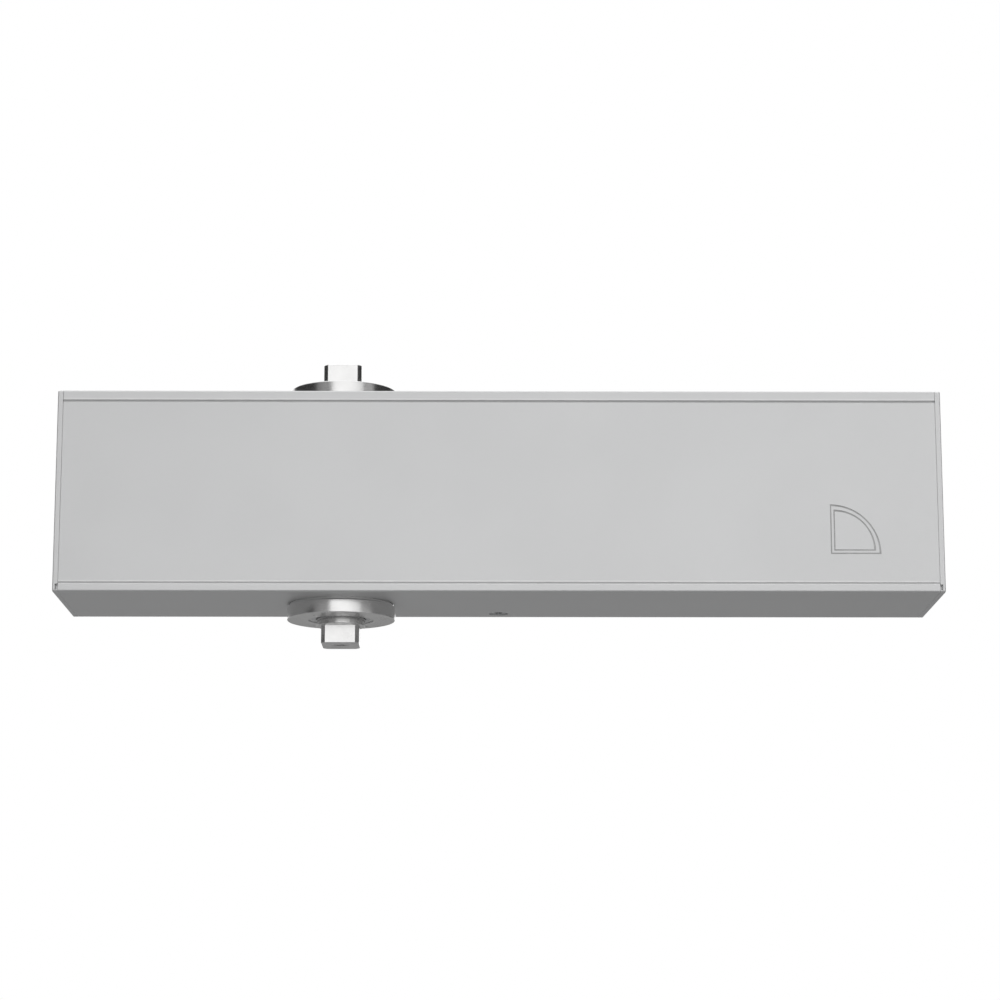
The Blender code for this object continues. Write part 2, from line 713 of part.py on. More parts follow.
def make_check_valve(axis):
    """The ball that lets oil into the left chamber as the door opens, and the ring that keeps it in."""
    work = bmesh.new()
    bmesh.ops.create_uvsphere(work, u_segments=SMALL, v_segments=TINY, radius=BALL_RADIUS)
    mesh = bpy.data.meshes.new("check_ball")
    work.to_mesh(mesh)
    work.free()
    at = (BALL_SEAT - BALL_SEAT_GAP - BALL_RADIUS, 0.0, 0.0)
    smooth(place("check_ball", mesh, "ground_steel", at, RIGHT, axis))
    right = PISTON_LEFT + RETAINER_LENGTH + FIT
    profile = [
        (BALL_CHAMBER_RADIUS - FIT, right),
        (BALL_CHAMBER_RADIUS - FIT, right - RETAINER_LENGTH),
        (RETAINER_HOLE_RADIUS, right - RETAINER_LENGTH),
        (RETAINER_HOLE_RADIUS, right),
    ]
    turned("ball_retainer", profile, "zinc_plated", turn=RIGHT, segments=SMALL, parent=axis)


def make_spring_seat(axis):
    """The cup between piston and spring, with a spigot that centres the coil."""
    right = SEAT_LEFT + SEAT_THICKNESS
    spigot = SPRING_RADIUS - WIRE_RADIUS - 2 * FIT
    hole = spigot / 2
    profile = [
        (spigot, right + SEAT_SPIGOT_LENGTH),
        (spigot, right),
        (BORE_RADIUS - SPRING_CLEARANCE, right),
        (BORE_RADIUS - SPRING_CLEARANCE, SEAT_LEFT),
        (hole, SEAT_LEFT),
        (hole, right + SEAT_SPIGOT_LENGTH),
    ]
    turned("spring_seat", profile, "zinc_plated", turn=RIGHT, segments=MEDIUM, parent=axis)


def make_spring(axis):
    """The coil: open turns between one closed turn at each end, as many as fit when it is fully pressed."""
    length = SPRING_RIGHT - SPRING_LEFT
    open_length = length - 2 * END_PITCH
    turns = int((open_length - STROKE) / (SPARE_PITCH * 2 * WIRE_RADIUS))
    open_pitch = open_length / turns
    count = (turns + 2) * COIL_POINTS + 1
    curve = bpy.data.curves.new("main_spring", "CURVE")
    curve.dimensions = "3D"
    curve.bevel_depth = WIRE_RADIUS
    curve.bevel_resolution = 2
    curve.use_fill_caps = True
    spline = curve.splines.new("POLY")
    spline.points.add(count - 1)
    along = SPRING_LEFT
    for number, point in enumerate(spline.points):
        angle = number * math.tau / COIL_POINTS
        point.co = (along, SPRING_RADIUS * math.cos(angle), SPRING_RADIUS * math.sin(angle), 1.0)
        turn = number / COIL_POINTS
        closed = turn < 1 or turn >= turns + 1
        along += (END_PITCH if closed else open_pitch) / COIL_POINTS
    place("main_spring", curve, "spring_steel", (0.0, 0.0, 0.0), UP, axis)


def make_end_plug(side_name, face, turn, axis):
    """A plug that closes one end of the cylinder: its socket faces out, and its inner face is at height 0."""
    radius = PLUG_SEAT_RADIUS - FIT
    groove = PLUG_LENGTH / 2
    half = PLUG_RING + GROOVE_SIDE
    bottom = PLUG_SEAT_RADIUS - 2 * FIT - 2 * PLUG_RING
    profile = [
        (0.0, PLUG_LENGTH - FIT),
        (radius - FIT, PLUG_LENGTH - FIT),
        (radius, PLUG_LENGTH - 2 * FIT),
        (radius, groove + half),
        (bottom - FIT, groove + half),
        (bottom - FIT, groove - half),
        (radius, groove - half),
        (radius, 0.0),
        (0.0, 0.0),
    ]
    at = (face, 0.0, 0.0)
    plug = turned(side_name + "_end_plug", profile, "zinc_plated", at, turn, parent=axis)
    outward = 1 if turn == RIGHT else -1
    socket_at = (face + outward * (PLUG_LENGTH - FIT), AXIS_Y, 0.0)
    cut(plug, cylinder(side_name + "_socket", PLUG_SOCKET, 2 * PLUG_SOCKET_DEPTH, socket_at, turn, 6))
    ring_at = (face + outward * groove, 0.0, 0.0)
    o_ring(side_name + "_plug_o_ring", bottom + PLUG_RING, PLUG_RING, ring_at, turn, MEDIUM, axis)


def make_speed_valve(name, height):
    """A needle valve screwed into the left end of the body; its O-ring sits in a groove."""
    groove = VALVE_GROOVE_PLACE
    width = 2 * (VALVE_RING + GROOVE_SIDE)
    ring_circle = VALVE_RADIUS - VALVE_RING
    bottom = ring_circle - VALVE_RING - FIT
    profile = [
        (0.0, VALVE_LENGTH),
        (NEEDLE_TIP_RADIUS, VALVE_LENGTH),
        (NEEDLE_RADIUS, VALVE_LENGTH - NEEDLE_CONE_LENGTH),
        (NEEDLE_RADIUS, VALVE_BODY_LENGTH),
        (VALVE_RADIUS, VALVE_BODY_LENGTH),
        (VALVE_RADIUS, groove + width),
        (bottom, groove + width),
        (bottom, groove),
        (VALVE_RADIUS, groove),
        (VALVE_RADIUS, VALVE_INSET + FIT),
        (VALVE_RADIUS - FIT, VALVE_INSET),
        (0.0, VALVE_INSET),
    ]
    mouth = (BODY_LEFT, -VALVE_FROM_DOOR, height)
    valve = turned(name + "_speed_valve", profile, "brass", mouth, RIGHT, SMALL)
    left = BODY_LEFT + VALVE_INSET
    half = VALVE_SLOT_WIDTH / 2
    low = (left - OVERRUN, -VALVE_FROM_DOOR - 2 * VALVE_RADIUS, height - half)
    high = (left + VALVE_SLOT_DEPTH, -VALVE_FROM_DOOR + 2 * VALVE_RADIUS, height + half)
    cut(valve, box(name + "_valve_slot", low, high))
    ring_at = (BODY_LEFT + groove + width / 2, -VALVE_FROM_DOOR, height)
    o_ring(name + "_valve_o_ring", ring_circle, VALVE_RING, ring_at, RIGHT, TINY)


# --- Spindle bearings, seals and cap nuts -----------------------------------------------------------------


def make_bearing(end, turn, axis):
    """A needle bearing: a race that stays in the body, and the cage of rollers that rolls round the journal."""
    race = [
        (RACE_RADIUS, BEARING_TOP),
        (RACE_RADIUS, BEARING_BOTTOM),
        (RACE_BORE, BEARING_BOTTOM),
        (RACE_BORE, BEARING_TOP),
    ]
    turned(end + "_bearing_race", race, "ground_steel", turn=turn, segments=MEDIUM, parent=axis)
    inner = ROLLER_CIRCLE - CAGE_WALL / 2
    outer = ROLLER_CIRCLE + CAGE_WALL / 2
    cage_profile = [
        (outer, BEARING_TOP - FIT),
        (outer, BEARING_BOTTOM + FIT),
        (inner, BEARING_BOTTOM + FIT),
        (inner, BEARING_TOP - FIT),
    ]
    cage_name = end + "_roller_cage"
    cage = turned(cage_name, cage_profile, "ground_steel", turn=turn, segments=MEDIUM, parent=axis)
    side = 1 if turn == UP else -1
    middle = side * (BEARING_BOTTOM + BEARING_TOP) / 2
    length = BEARING_LENGTH - 2 * FIT - 2 * CAGE_END
    work = bmesh.new()
    for number in range(ROLLERS):
        made = bmesh.ops.create_cone(
            work,
            cap_ends=True,
            segments=ROLLER_SEGMENTS,
            radius1=ROLLER_RADIUS,
            radius2=ROLLER_RADIUS,
            depth=length,
        )
        angle = number * math.tau / ROLLERS
        offset = (ROLLER_CIRCLE * math.cos(angle), ROLLER_CIRCLE * math.sin(angle), 0.0)
        bmesh.ops.translate(work, vec=offset, verts=made["verts"])
    mesh = bpy.data.meshes.new(end + "_rollers")
    work.to_mesh(mesh)
    work.free()
    join(cage, place(end + "_rollers", mesh, None, (0.0, AXIS_Y, middle), UP, None))


def make_cap_nut(end, turn, axis):
    """A nut that closes the spindle boss, carries the shaft seal and stands out through the cover."""
    ring_height = NUT_BOTTOM + NUT_SPIGOT_LENGTH / 2
    half = NUT_RING + GROOVE_SIDE
    ring_circle = SPIGOT_RADIUS - NUT_RING
    bottom = ring_circle - NUT_RING - FIT
    pocket = SEAL_RADIUS + FIT
    pocket_top = NUT_BOTTOM + SEAL_LENGTH + FIT
    profile = [
        (NUT_RADIUS - NUT_EDGE, NUT_TOP),
        (NUT_RADIUS, NUT_TOP - NUT_EDGE),
        (NUT_RADIUS, NUT_FLANGE),
        (SPIGOT_RADIUS, NUT_FLANGE),
        (SPIGOT_RADIUS, ring_height + half),
        (bottom, ring_height + half),
        (bottom, ring_height - half),
        (SPIGOT_RADIUS, ring_height - half),
        (SPIGOT_RADIUS, NUT_BOTTOM),
        (pocket, NUT_BOTTOM),
        (pocket, pocket_top),
        (NUT_BORE_RADIUS, pocket_top),
        (NUT_BORE_RADIUS, NUT_TOP),
    ]
    nut = turned(end + "_cap_nut", profile, "satin_steel", turn=turn, parent=axis)
    side = 1 if turn == UP else -1
    for number, angle in enumerate((SPANNER_HOLE_ANGLE, SPANNER_HOLE_ANGLE + math.pi), 1):
        at = (
            SPANNER_HOLE_CIRCLE * math.cos(angle),
            AXIS_Y + SPANNER_HOLE_CIRCLE * math.sin(angle),
            side * NUT_TOP,
        )
        name = f"{end}_spanner_hole_{number}"
        cut(nut, cylinder(name, SPANNER_HOLE_RADIUS, 2 * SPANNER_HOLE_DEPTH, at, UP, TINY))
    ring_at = (0.0, 0.0, side * ring_height)
    o_ring(end + "_nut_o_ring", ring_circle, NUT_RING, ring_at, turn, MEDIUM, axis)
    seal_profile = [
        (SEAL_RADIUS, pocket_top - FIT),
        (SEAL_RADIUS, NUT_BOTTOM),
        (JOURNAL_RADIUS + RUN, NUT_BOTTOM),
        (JOURNAL_RADIUS + RUN, pocket_top - FIT),
    ]
    turned(end + "_shaft_seal", seal_profile, "black_rubber", turn=turn, segments=MEDIUM, parent=axis)


# --- Cover ------------------------------------------------------------------------------------------------


def cover_corner_points():
    """The upper front corner and groove of the cover's outside, from its rear edge to its middle, as (y, z)."""
    groove = COVER_HALF_HEIGHT - GROOVE_INSET
    corner = (COVER_FRONT + COVER_EDGE, COVER_HALF_HEIGHT - COVER_EDGE)
    points = [(COVER_REAR, COVER_HALF_HEIGHT)]
    points += arc(corner, COVER_EDGE, 90.0, 180.0, CORNER_STEPS)
    points += [
        (COVER_FRONT, groove + GROOVE_WIDTH / 2),
        (COVER_FRONT + GROOVE_DEPTH, groove + GROOVE_WIDTH / 2),
        (COVER_FRONT + GROOVE_DEPTH, groove - GROOVE_WIDTH / 2),
        (COVER_FRONT, groove - GROOVE_WIDTH / 2),
    ]
    return points


def make_front_cover():
    """The extruded channel, slotted from the rear so that it slides on over the cap nuts."""
    outside = mirrored(cover_corner_points())
    inside = [
        (COVER_REAR, -COVER_INNER),
        (COVER_FRONT + COVER_WALL, -COVER_INNER),
        (COVER_FRONT + COVER_WALL, COVER_INNER),
        (COVER_REAR, COVER_INNER),
    ]
    length = COVER_LENGTH - 2 * (CAP_THICKNESS + FIT)
    at = (COVER_MIDDLE, 0.0, 0.0)
    cover = outline("front_cover", outside + inside, length, "anodised_silver", at, SECTION_ALONG_X)
    slot_radius = NUT_RADIUS + FIT
    rear = COVER_REAR + OVERRUN - AXIS_Y
    slot = [(slot_radius, rear), (-slot_radius, rear)]
    slot += arc((0.0, 0.0), slot_radius, 180.0, 360.0, LARGE // 2)
    middle = (0.0, AXIS_Y, 0.0)
    cut(cover, outline("nut_slot", slot, 4 * COVER_HALF_HEIGHT, at=middle))
    hole_at = (COVER_MIDDLE, -SCREW_FROM_DOOR, -COVER_HALF_HEIGHT)
    cut(cover, cylinder("screw_head_hole", SCREW_HEAD_RADIUS + FIT, 4 * COVER_WALL, hole_at, UP))


def make_end_cap(name, outer_face, side):
    """A plate with the cover's outline and a spigot that plugs into the cover's open end."""
    corner = (COVER_FRONT + COVER_EDGE, COVER_HALF_HEIGHT - COVER_EDGE)
    plate = [(COVER_REAR, COVER_HALF_HEIGHT)] + arc(corner, COVER_EDGE, 90.0, 180.0, CORNER_STEPS)
    plate_middle = (outer_face - side * CAP_THICKNESS / 2, 0.0, 0.0)
    points = mirrored(plate)
    cap = outline(name, points, CAP_THICKNESS, "anodised_silver", plate_middle, SECTION_ALONG_X)
    front = COVER_FRONT + COVER_WALL + FIT
    height = COVER_INNER - FIT
    outer = [(COVER_REAR, height), (front, height)]
    inner = [
        (COVER_REAR, -height + CAP_SPIGOT_WALL),
        (front + CAP_SPIGOT_WALL, -height + CAP_SPIGOT_WALL),
        (front + CAP_SPIGOT_WALL, height - CAP_SPIGOT_WALL),
        (COVER_REAR, height - CAP_SPIGOT_WALL),
    ]
    length = CAP_SPIGOT_LENGTH + CAP_THICKNESS / 2
    spigot_at = (outer_face - side * (CAP_THICKNESS / 2 + length / 2), 0.0, 0.0)
    join(cap, outline(name + "_spigot", mirrored(outer) + inner, length, None, spigot_at, SECTION_ALONG_X))


def make_cover_screw():
    """The screw whose head sits in the hole in the cover's underside and keeps the cover on."""
    profile = [
        (0.0, 0.0),
        (SCREW_HEAD_RADIUS - FIT, 0.0),
        (SCREW_HEAD_RADIUS, -FIT),
        (SCREW_HEAD_RADIUS, FIT - SCREW_HEAD_HEIGHT),
        (SCREW_SHANK_RADIUS, FIT - SCREW_HEAD_HEIGHT),
        (SCREW_SHANK_RADIUS, -SCREW_LENGTH + FIT),
        (SCREW_SHANK_RADIUS - FIT, -SCREW_LENGTH),
        (0.0, -SCREW_LENGTH),
    ]
    at = (COVER_MIDDLE, -SCREW_FROM_DOOR, -COVER_HALF_HEIGHT + SCREW_INSET)
    screw = turned("cover_screw", profile, "zinc_plated", at, DOWN, SMALL)
    cut(screw, cylinder("screw_socket", SCREW_SOCKET, 2 * SCREW_SOCKET_DEPTH, at, UP, 6))


# --- Assembly ---------------------------------------------------------------------------------------------


def main():
    clear_scene()
    new_collection("door_closer")
    new_collection("cutters")
    spindle = axis_empty("spindle_axis", (0.0, AXIS_Y, 0.0))
    barrel = axis_empty("barrel_axis", (0.0, AXIS_Y, 0.0))
    make_body()
    make_pinion_shaft(spindle)
    make_piston(barrel)
    make_piston_ring(barrel)
    make_check_valve(barrel)
    make_spring_seat(barrel)
    make_spring(barrel)
    make_end_plug("left", LEFT_PLUG_FACE, LEFT, barrel)
    make_end_plug("right", RIGHT_PLUG_FACE, RIGHT, barrel)
    make_speed_valve("closing", VALVE_HEIGHT)
    make_speed_valve("latching", -VALVE_HEIGHT)
    for end, turn in (("top", UP), ("bottom", DOWN)):
        make_bearing(end, turn, spindle)
        make_cap_nut(end, turn, spindle)
    make_front_cover()
    make_end_cap("left_end_cap", COVER_LEFT, -1)
    make_end_cap("right_end_cap", COVER_RIGHT, 1)
    make_cover_screw()


main()
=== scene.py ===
"""The looks of a surface-mounted hydraulic door closer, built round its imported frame.

The frame gives every size and place. The pieces that show are built again here with finer
shapes, and the rest of the frame's pieces are dressed in their finishes.
"""

import logging
import math
from collections.abc import Callable, Iterable, Sequence
from dataclasses import dataclass, field
from enum import Enum

import bmesh
import bpy
from mathutils import Euler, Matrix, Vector


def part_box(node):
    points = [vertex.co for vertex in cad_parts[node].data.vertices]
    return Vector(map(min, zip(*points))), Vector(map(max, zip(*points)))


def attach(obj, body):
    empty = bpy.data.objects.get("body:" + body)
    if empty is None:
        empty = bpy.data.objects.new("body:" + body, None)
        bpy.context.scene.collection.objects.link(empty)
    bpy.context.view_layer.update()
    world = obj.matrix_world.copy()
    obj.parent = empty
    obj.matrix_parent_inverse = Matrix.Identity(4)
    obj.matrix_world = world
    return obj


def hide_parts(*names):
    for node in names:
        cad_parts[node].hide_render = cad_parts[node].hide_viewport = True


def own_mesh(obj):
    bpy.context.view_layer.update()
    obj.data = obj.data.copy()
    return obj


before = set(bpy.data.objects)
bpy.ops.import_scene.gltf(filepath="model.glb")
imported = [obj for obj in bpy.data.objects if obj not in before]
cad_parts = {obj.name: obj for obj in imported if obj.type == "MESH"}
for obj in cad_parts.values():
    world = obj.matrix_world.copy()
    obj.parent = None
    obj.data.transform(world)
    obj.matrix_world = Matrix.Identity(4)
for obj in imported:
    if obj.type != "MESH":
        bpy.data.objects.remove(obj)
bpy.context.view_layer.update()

log = logging.getLogger("door_closer")

Point = tuple[float, float]
Colour = tuple[float, float, float, float]
Ring = list[Vector]
Triple = tuple[float, float, float]
Piece = bpy.types.Object
Socket = bpy.types.NodeSocket

SPINDLE_Y = -0.022
SPINDLE_AXIS = Vector((0.0, SPINDLE_Y, 0.0))
NOISE_MIDDLE = (0.3, 0.7)  # most of a noise's values lie between these
BLOTCH_SHARE = 0.65  # of a metal's unevenness; the rest is its grain
RUBBED_POLISH = 0.25  # how much of its roughness a rubbed edge loses


class Slot(Enum):
    """The record's material slots."""

    ANODISED = "anodised_silver"
    CAST = "cast_aluminium"
    SATIN = "satin_steel"
    GROUND = "ground_steel"
    SPRING = "spring_steel"
    ZINC = "zinc_plated"
    BRASS = "brass"
    RUBBER = "black_rubber"


class End(Enum):
    """The two ends of the spindle, each with the sign of its Z."""

    TOP = 1
    BOTTOM = -1


class Side(Enum):
    """The two ends of the cover, each with the sign of its X."""

    LEFT = -1
    RIGHT = 1


# --- Shader effects that several finishes share ---------------------------------------------------


class NodeGraph:
    """A node tree with short calls to add and join nodes."""

    def __init__(self, tree: bpy.types.NodeTree) -> None:
        """Works on the given tree."""
        self.tree = tree

    def add(self, kind: str, **settings: object) -> bpy.types.Node:
        """Adds one node.

        Args:
            kind: the node's Blender type.
            settings: properties of the node, by name.

        Returns:
            The new node.
        """
        made = self.tree.nodes.new(kind)
        for key, value in settings.items():
            setattr(made, key, value)
        return made

    def join(self, source: Socket, target: Socket) -> None:
        """Links an output to an input."""
        self.tree.links.new(source, target)

    def ramp(self, value: Socket, start: Point, end: Point, **settings: object) -> Socket:
        """Maps a value from one range to another.

        Args:
            value: the value.
            start: the range that it comes in.
            end: the range that it is mapped to.
            settings: properties of the Map Range node, by name.

        Returns:
            The mapped value.
        """
        mapped = self.add("ShaderNodeMapRange", **settings)
        self.join(value, mapped.inputs["Value"])
        for label, number in zip(("From Min", "From Max", "To Min", "To Max"), start + end):
            mapped.inputs[label].default_value = number
        return mapped.outputs["Result"]

    def spread(self, value: Socket, low: float, high: float) -> Socket:
        """Maps the middle part of a noise to a range."""
        return self.ramp(value, NOISE_MIDDLE, (low, high))

    def speckle(self, scale: Socket, detail: float) -> bpy.types.Node:
        """Adds a noise in the object's own coordinates.

        Args:
            scale: the output that gives its scale.
            detail: how many octaves it has.

        Returns:
            The noise node.
        """
        place = self.add("ShaderNodeTexCoord")
        noise = self.add("ShaderNodeTexNoise", noise_dimensions="3D")
        noise.inputs["Detail"].default_value = detail
        self.join(place.outputs["Object"], noise.inputs["Vector"])
        self.join(scale, noise.inputs["Scale"])
        return noise

    def use(self, group: bpy.types.NodeTree, **values: object) -> bpy.types.Node:
        """Places a node group.

        Args:
            group: the group.
            values: its inputs' values, by name.

        Returns:
            The group's node.
        """
        node = self.add("ShaderNodeGroup", node_tree=group)
        for label, value in values.items():
            node.inputs[label].default_value = value
        return node

    def emboss(self, surface: bpy.types.Node, height: Socket, depth: float) -> None:
        """Gives a surface fine relief.

        Args:
            surface: the surface's shader.
            height: the relief's height, from 0 to 1.
            depth: how deep that is, in metres.
        """
        bump = self.add("ShaderNodeBump")
        bump.inputs["Strength"].default_value = 1.0
        bump.inputs["Distance"].default_value = depth
        self.join(height, bump.inputs["Height"])
        self.join(bump.outputs["Normal"], surface.inputs["Normal"])

    def combine(self, operation: str, first: Socket, second: Socket | float) -> Socket:
        """Joins two values by arithmetic.

        Args:
            operation: the Math node's operation.
            first: the first value.
            second: the second value, a socket or a number.

        Returns:
            The result's socket.
        """
        maths = self.add("ShaderNodeMath", operation=operation)
        self.join(first, maths.inputs[0])
        if isinstance(second, Socket):
            self.join(second, maths.inputs[1])
        else:
            maths.inputs[1].default_value = second
        return maths.outputs["Value"]

    def blend(self, mask: Socket, base: Colour | Socket, over: Colour) -> Socket:
        """Lays one colour over another where a mask is bright.

        Args:
            mask: how much of the upper colour shows.
            base: the lower colour.
            over: the upper colour.

        Returns:
            The blended colour.
        """
        mix = self.add("ShaderNodeMix", data_type="RGBA")
        self.join(mask, mix.inputs[0])
        if isinstance(base, Socket):
            self.join(base, mix.inputs[6])
        else:
            mix.inputs[6].default_value = base
        mix.inputs[7].default_value = over
        return mix.outputs[2]

    def mix(self, share: Socket, first: Socket, second: Socket) -> Socket:
        """Mixes two shaders.

        Args:
            share: how much of the second one shows.
            first: the first shader.
            second: the second shader.

        Returns:
            The mixed shader.
        """
        mixed = self.add("ShaderNodeMixShader")
        for number, source in enumerate((share, first, second)):
            self.join(source, mixed.inputs[number])
        return mixed.outputs["Shader"]


class Effects:
    """The shader node groups, each built once and placed in every finish that needs it."""

    def __init__(self) -> None:
        """Builds the groups."""
        self.grain = self._grain()
        self.blotches = self._blotches()
        self.turning = self._turning()
        self.edges = self._wear_and_highlight_mask()

    @staticmethod
    def _open(
        name: str, inputs: dict[str, tuple[str, object]], outputs: dict[str, str]
    ) -> tuple[bpy.types.NodeTree, NodeGraph, bpy.types.Node, bpy.types.Node]:
        """Starts a node group.

        Args:
            name: the group's name.
            inputs: each input's socket type and first value.
            outputs: each output's socket type.

        Returns:
            The group, a graph on it, and its input and output nodes.
        """
        group = bpy.data.node_groups.new(name, "ShaderNodeTree")
        for label, (kind, value) in inputs.items():
            socket = group.interface.new_socket(name=label, in_out="INPUT", socket_type=kind)
            socket.default_value = value
        for label, kind in outputs.items():
            group.interface.new_socket(name=label, in_out="OUTPUT", socket_type=kind)
        graph = NodeGraph(group)
        return group, graph, graph.add("NodeGroupInput"), graph.add("NodeGroupOutput")

    def _grain(self) -> bpy.types.NodeTree:
        """Fine grain, blasted or drawn out along one direction, as a tone and a height."""
        group, graph, given, out = self._open(
            "metal_grain",
            {
                "Fineness": ("NodeSocketVector", (4000.0, 4000.0, 4000.0)),
                "Detail": ("NodeSocketFloat", 2.0),
            },
            {"Tone": "NodeSocketFloat", "Height": "NodeSocketFloat"},
        )
        place = graph.add("ShaderNodeTexCoord")
        scaled = graph.add("ShaderNodeVectorMath", operation="MULTIPLY")
        graph.join(place.outputs["Object"], scaled.inputs[0])
        graph.join(given.outputs["Fineness"], scaled.inputs[1])
        noise = graph.add("ShaderNodeTexNoise", noise_dimensions="3D")
        noise.inputs["Scale"].default_value = 1.0
        graph.join(scaled.outputs["Vector"], noise.inputs["Vector"])
        graph.join(given.outputs["Detail"], noise.inputs["Detail"])
        graph.join(noise.outputs["Fac"], out.inputs["Height"])
        graph.join(graph.spread(noise.outputs["Fac"], 0.0, 1.0), out.inputs["Tone"])
        return group

    def _blotches(self) -> bpy.types.NodeTree:
        """Broad, soft unevenness from handling and from the plating bath, as a mask."""
        group, graph, given, out = self._open(
            "soft_blotches",
            {
                "Scale": ("NodeSocketFloat", 40.0),
                "Break": ("NodeSocketFloat", 0.55),
            },
            {"Mask": "NodeSocketFloat"},
        )
        noise = graph.speckle(given.outputs["Scale"], 4.0)
        graph.join(given.outputs["Break"], noise.inputs["Roughness"])
        graph.join(graph.spread(noise.outputs["Fac"], 0.0, 1.0), out.inputs["Mask"])
        return group

    def _turning(self) -> bpy.types.NodeTree:
        """The lathe's rings about the spindle, on end faces and round sides alike."""
        group, graph, given, out = self._open(
            "lathe_rings",
            {"Rings": ("NodeSocketFloat", 5000.0), "Axis Y": ("NodeSocketFloat", SPINDLE_Y)},
            {"Tone": "NodeSocketFloat", "Height": "NodeSocketFloat"},
        )
        place = graph.add("ShaderNodeTexCoord")
        split = graph.add("ShaderNodeSeparateXYZ")
        graph.join(place.outputs["Object"], split.inputs["Vector"])
        across = graph.combine("SUBTRACT", split.outputs["Y"], given.outputs["Axis Y"])
        square = graph.combine("MULTIPLY", across, across)
        other = graph.combine("MULTIPLY", split.outputs["X"], split.outputs["X"])
        reach = graph.combine("SQRT", graph.combine("ADD", square, other), 0.0)
        along = graph.combine("ADD", reach, split.outputs["Z"])
        noise = graph.add("ShaderNodeTexNoise", noise_dimensions="1D")
        noise.inputs["Scale"].default_value = 1.0
        noise.inputs["Detail"].default_value = 2.0
        graph.join(graph.combine("MULTIPLY", along, given.outputs["Rings"]), noise.inputs["W"])
        graph.join(noise.outputs["Fac"], out.inputs["Height"])
        graph.join(graph.spread(noise.outputs["Fac"], 0.0, 1.0), out.inputs["Tone"])
        return group

    def _wear_and_highlight_mask(self) -> bpy.types.NodeTree:
        """Edge wear and a painted edge highlight: the small faces that break each edge, worn
        unevenly, as a mask.
        """
        group, graph, given, out = self._open(
            "wear_and_painted_highlight",
            {"Scale": ("NodeSocketFloat", 350.0), "Amount": ("NodeSocketFloat", 0.7)},
            {"Mask": "NodeSocketFloat"},
        )
        edge = graph.add("ShaderNodeAttribute", attribute_name="edge")
        noise = graph.speckle(given.outputs["Scale"], 3.0)
        uneven = graph.spread(noise.outputs["Fac"], 0.45, 1.0)
        worn = graph.combine("MULTIPLY", edge.outputs["Fac"], uneven)
        graph.join(graph.combine("MULTIPLY", worn, given.outputs["Amount"]), out.inputs["Mask"])
        return group


# --- Finishes -------------------------------------------------------------------------------------


def start_finish(name: str) -> tuple[bpy.types.Material, NodeGraph, bpy.types.Node]:
    """Starts a material.

    Args:
        name: its name.

    Returns:
        The material, a graph on it, and its surface shader.
    """
    made = bpy.data.materials.new(name)
    made.use_nodes = True
    made.node_tree.nodes.clear()
    graph = NodeGraph(made.node_tree)
    surface = graph.add("ShaderNodeBsdfPrincipled")
    output = graph.add("ShaderNodeOutputMaterial")
    graph.join(surface.outputs["BSDF"], output.inputs["Surface"])
    return made, graph, surface


@dataclass(frozen=True)
class MetalFinish:
    """A metal: its colour, how rough it is, the marks that its making and use leave, and a painted
    highlight on its edges.
    """

    slot: Slot
    colour: Colour
    shade: Colour
    wear_and_highlight_colour: Colour
    roughness: float
    roughness_change: float
    grain: Triple
    grain_depth: float
    blotch_scale: float
    rings: float = 0.0
    ring_depth: float = 0.0
    wear_and_highlight_amount: float = 0.7
    metallic: float = 1.0
    name: str = ""

    def material(self, effects: Effects) -> bpy.types.Material:
        """Builds the finish.

        Args:
            effects: the shared node groups.

        Returns:
            The material.
        """
        made, graph, surface = start_finish(self.name or self.slot.value + "_finish")
        surface.inputs["Metallic"].default_value = self.metallic
        grain = graph.use(effects.grain, Fineness=self.grain)
        blotches = graph.use(effects.blotches, Scale=self.blotch_scale)
        edges = graph.use(effects.edges, Amount=self.wear_and_highlight_amount)

        tone, height = grain.outputs["Tone"], grain.outputs["Height"]
        if self.rings:
            turning = graph.use(effects.turning, Rings=self.rings)
            share = self.ring_depth / self.grain_depth
            rings = graph.combine("MULTIPLY", turning.outputs["Height"], share)
            height = graph.combine("ADD", height, rings)
            tone = graph.combine("MULTIPLY", tone, turning.outputs["Tone"])
        uneven = graph.combine("MULTIPLY", blotches.outputs["Mask"], BLOTCH_SHARE)
        grainy = graph.combine("MULTIPLY", tone, 1 - BLOTCH_SHARE)
        speckled = graph.combine("ADD", uneven, grainy)
        colour = graph.blend(speckled, self.colour, self.shade)
        # Edge faces take a lighter colour: partly wear, partly a painted highlight on the edges.
        colour = graph.blend(edges.outputs["Mask"], colour, self.wear_and_highlight_colour)
        graph.join(colour, surface.inputs["Base Color"])

        low = self.roughness - self.roughness_change
        high = self.roughness + self.roughness_change
        rough = graph.spread(speckled, low, high)
        smoother = graph.combine("MULTIPLY", edges.outputs["Mask"], RUBBED_POLISH)
        rough = graph.combine("SUBTRACT", rough, graph.combine("MULTIPLY", smoother, rough))
        graph.join(rough, surface.inputs["Roughness"])

        graph.emboss(surface, height, self.grain_depth)
        return made


@dataclass(frozen=True)
class RubberFinish:
    """Matt moulded rubber with a fine bloom."""

    slot: Slot = Slot.RUBBER
    colour: Colour = (0.018, 0.018, 0.019, 1.0)
    bloom: Colour = (0.045, 0.045, 0.046, 1.0)
    smoothest: float = 0.54
    roughest: float = 0.72
    grain: Triple = (6000.0, 6000.0, 6000.0)
    grain_depth: float = 0.00001
    bloom_scale: float = 220.0

    def material(self, effects: Effects) -> bpy.types.Material:
        """Builds the finish.

        Args:
            effects: the shared node groups.

        Returns:
            The material.
        """
        made, graph, surface = start_finish(self.slot.value + "_finish")
        surface.inputs["Specular IOR Level"].default_value = 0.4
        grain = graph.use(effects.grain, Fineness=self.grain)
        blotches = graph.use(effects.blotches, Scale=self.bloom_scale)
        colour = graph.blend(blotches.outputs["Mask"], self.colour, self.bloom)
        graph.join(colour, surface.inputs["Base Color"])
        height = grain.outputs["Height"]
        rough = graph.spread(height, self.smoothest, self.roughest)
        graph.join(rough, surface.inputs["Roughness"])
        graph.emboss(surface, height, self.grain_depth)
        return made


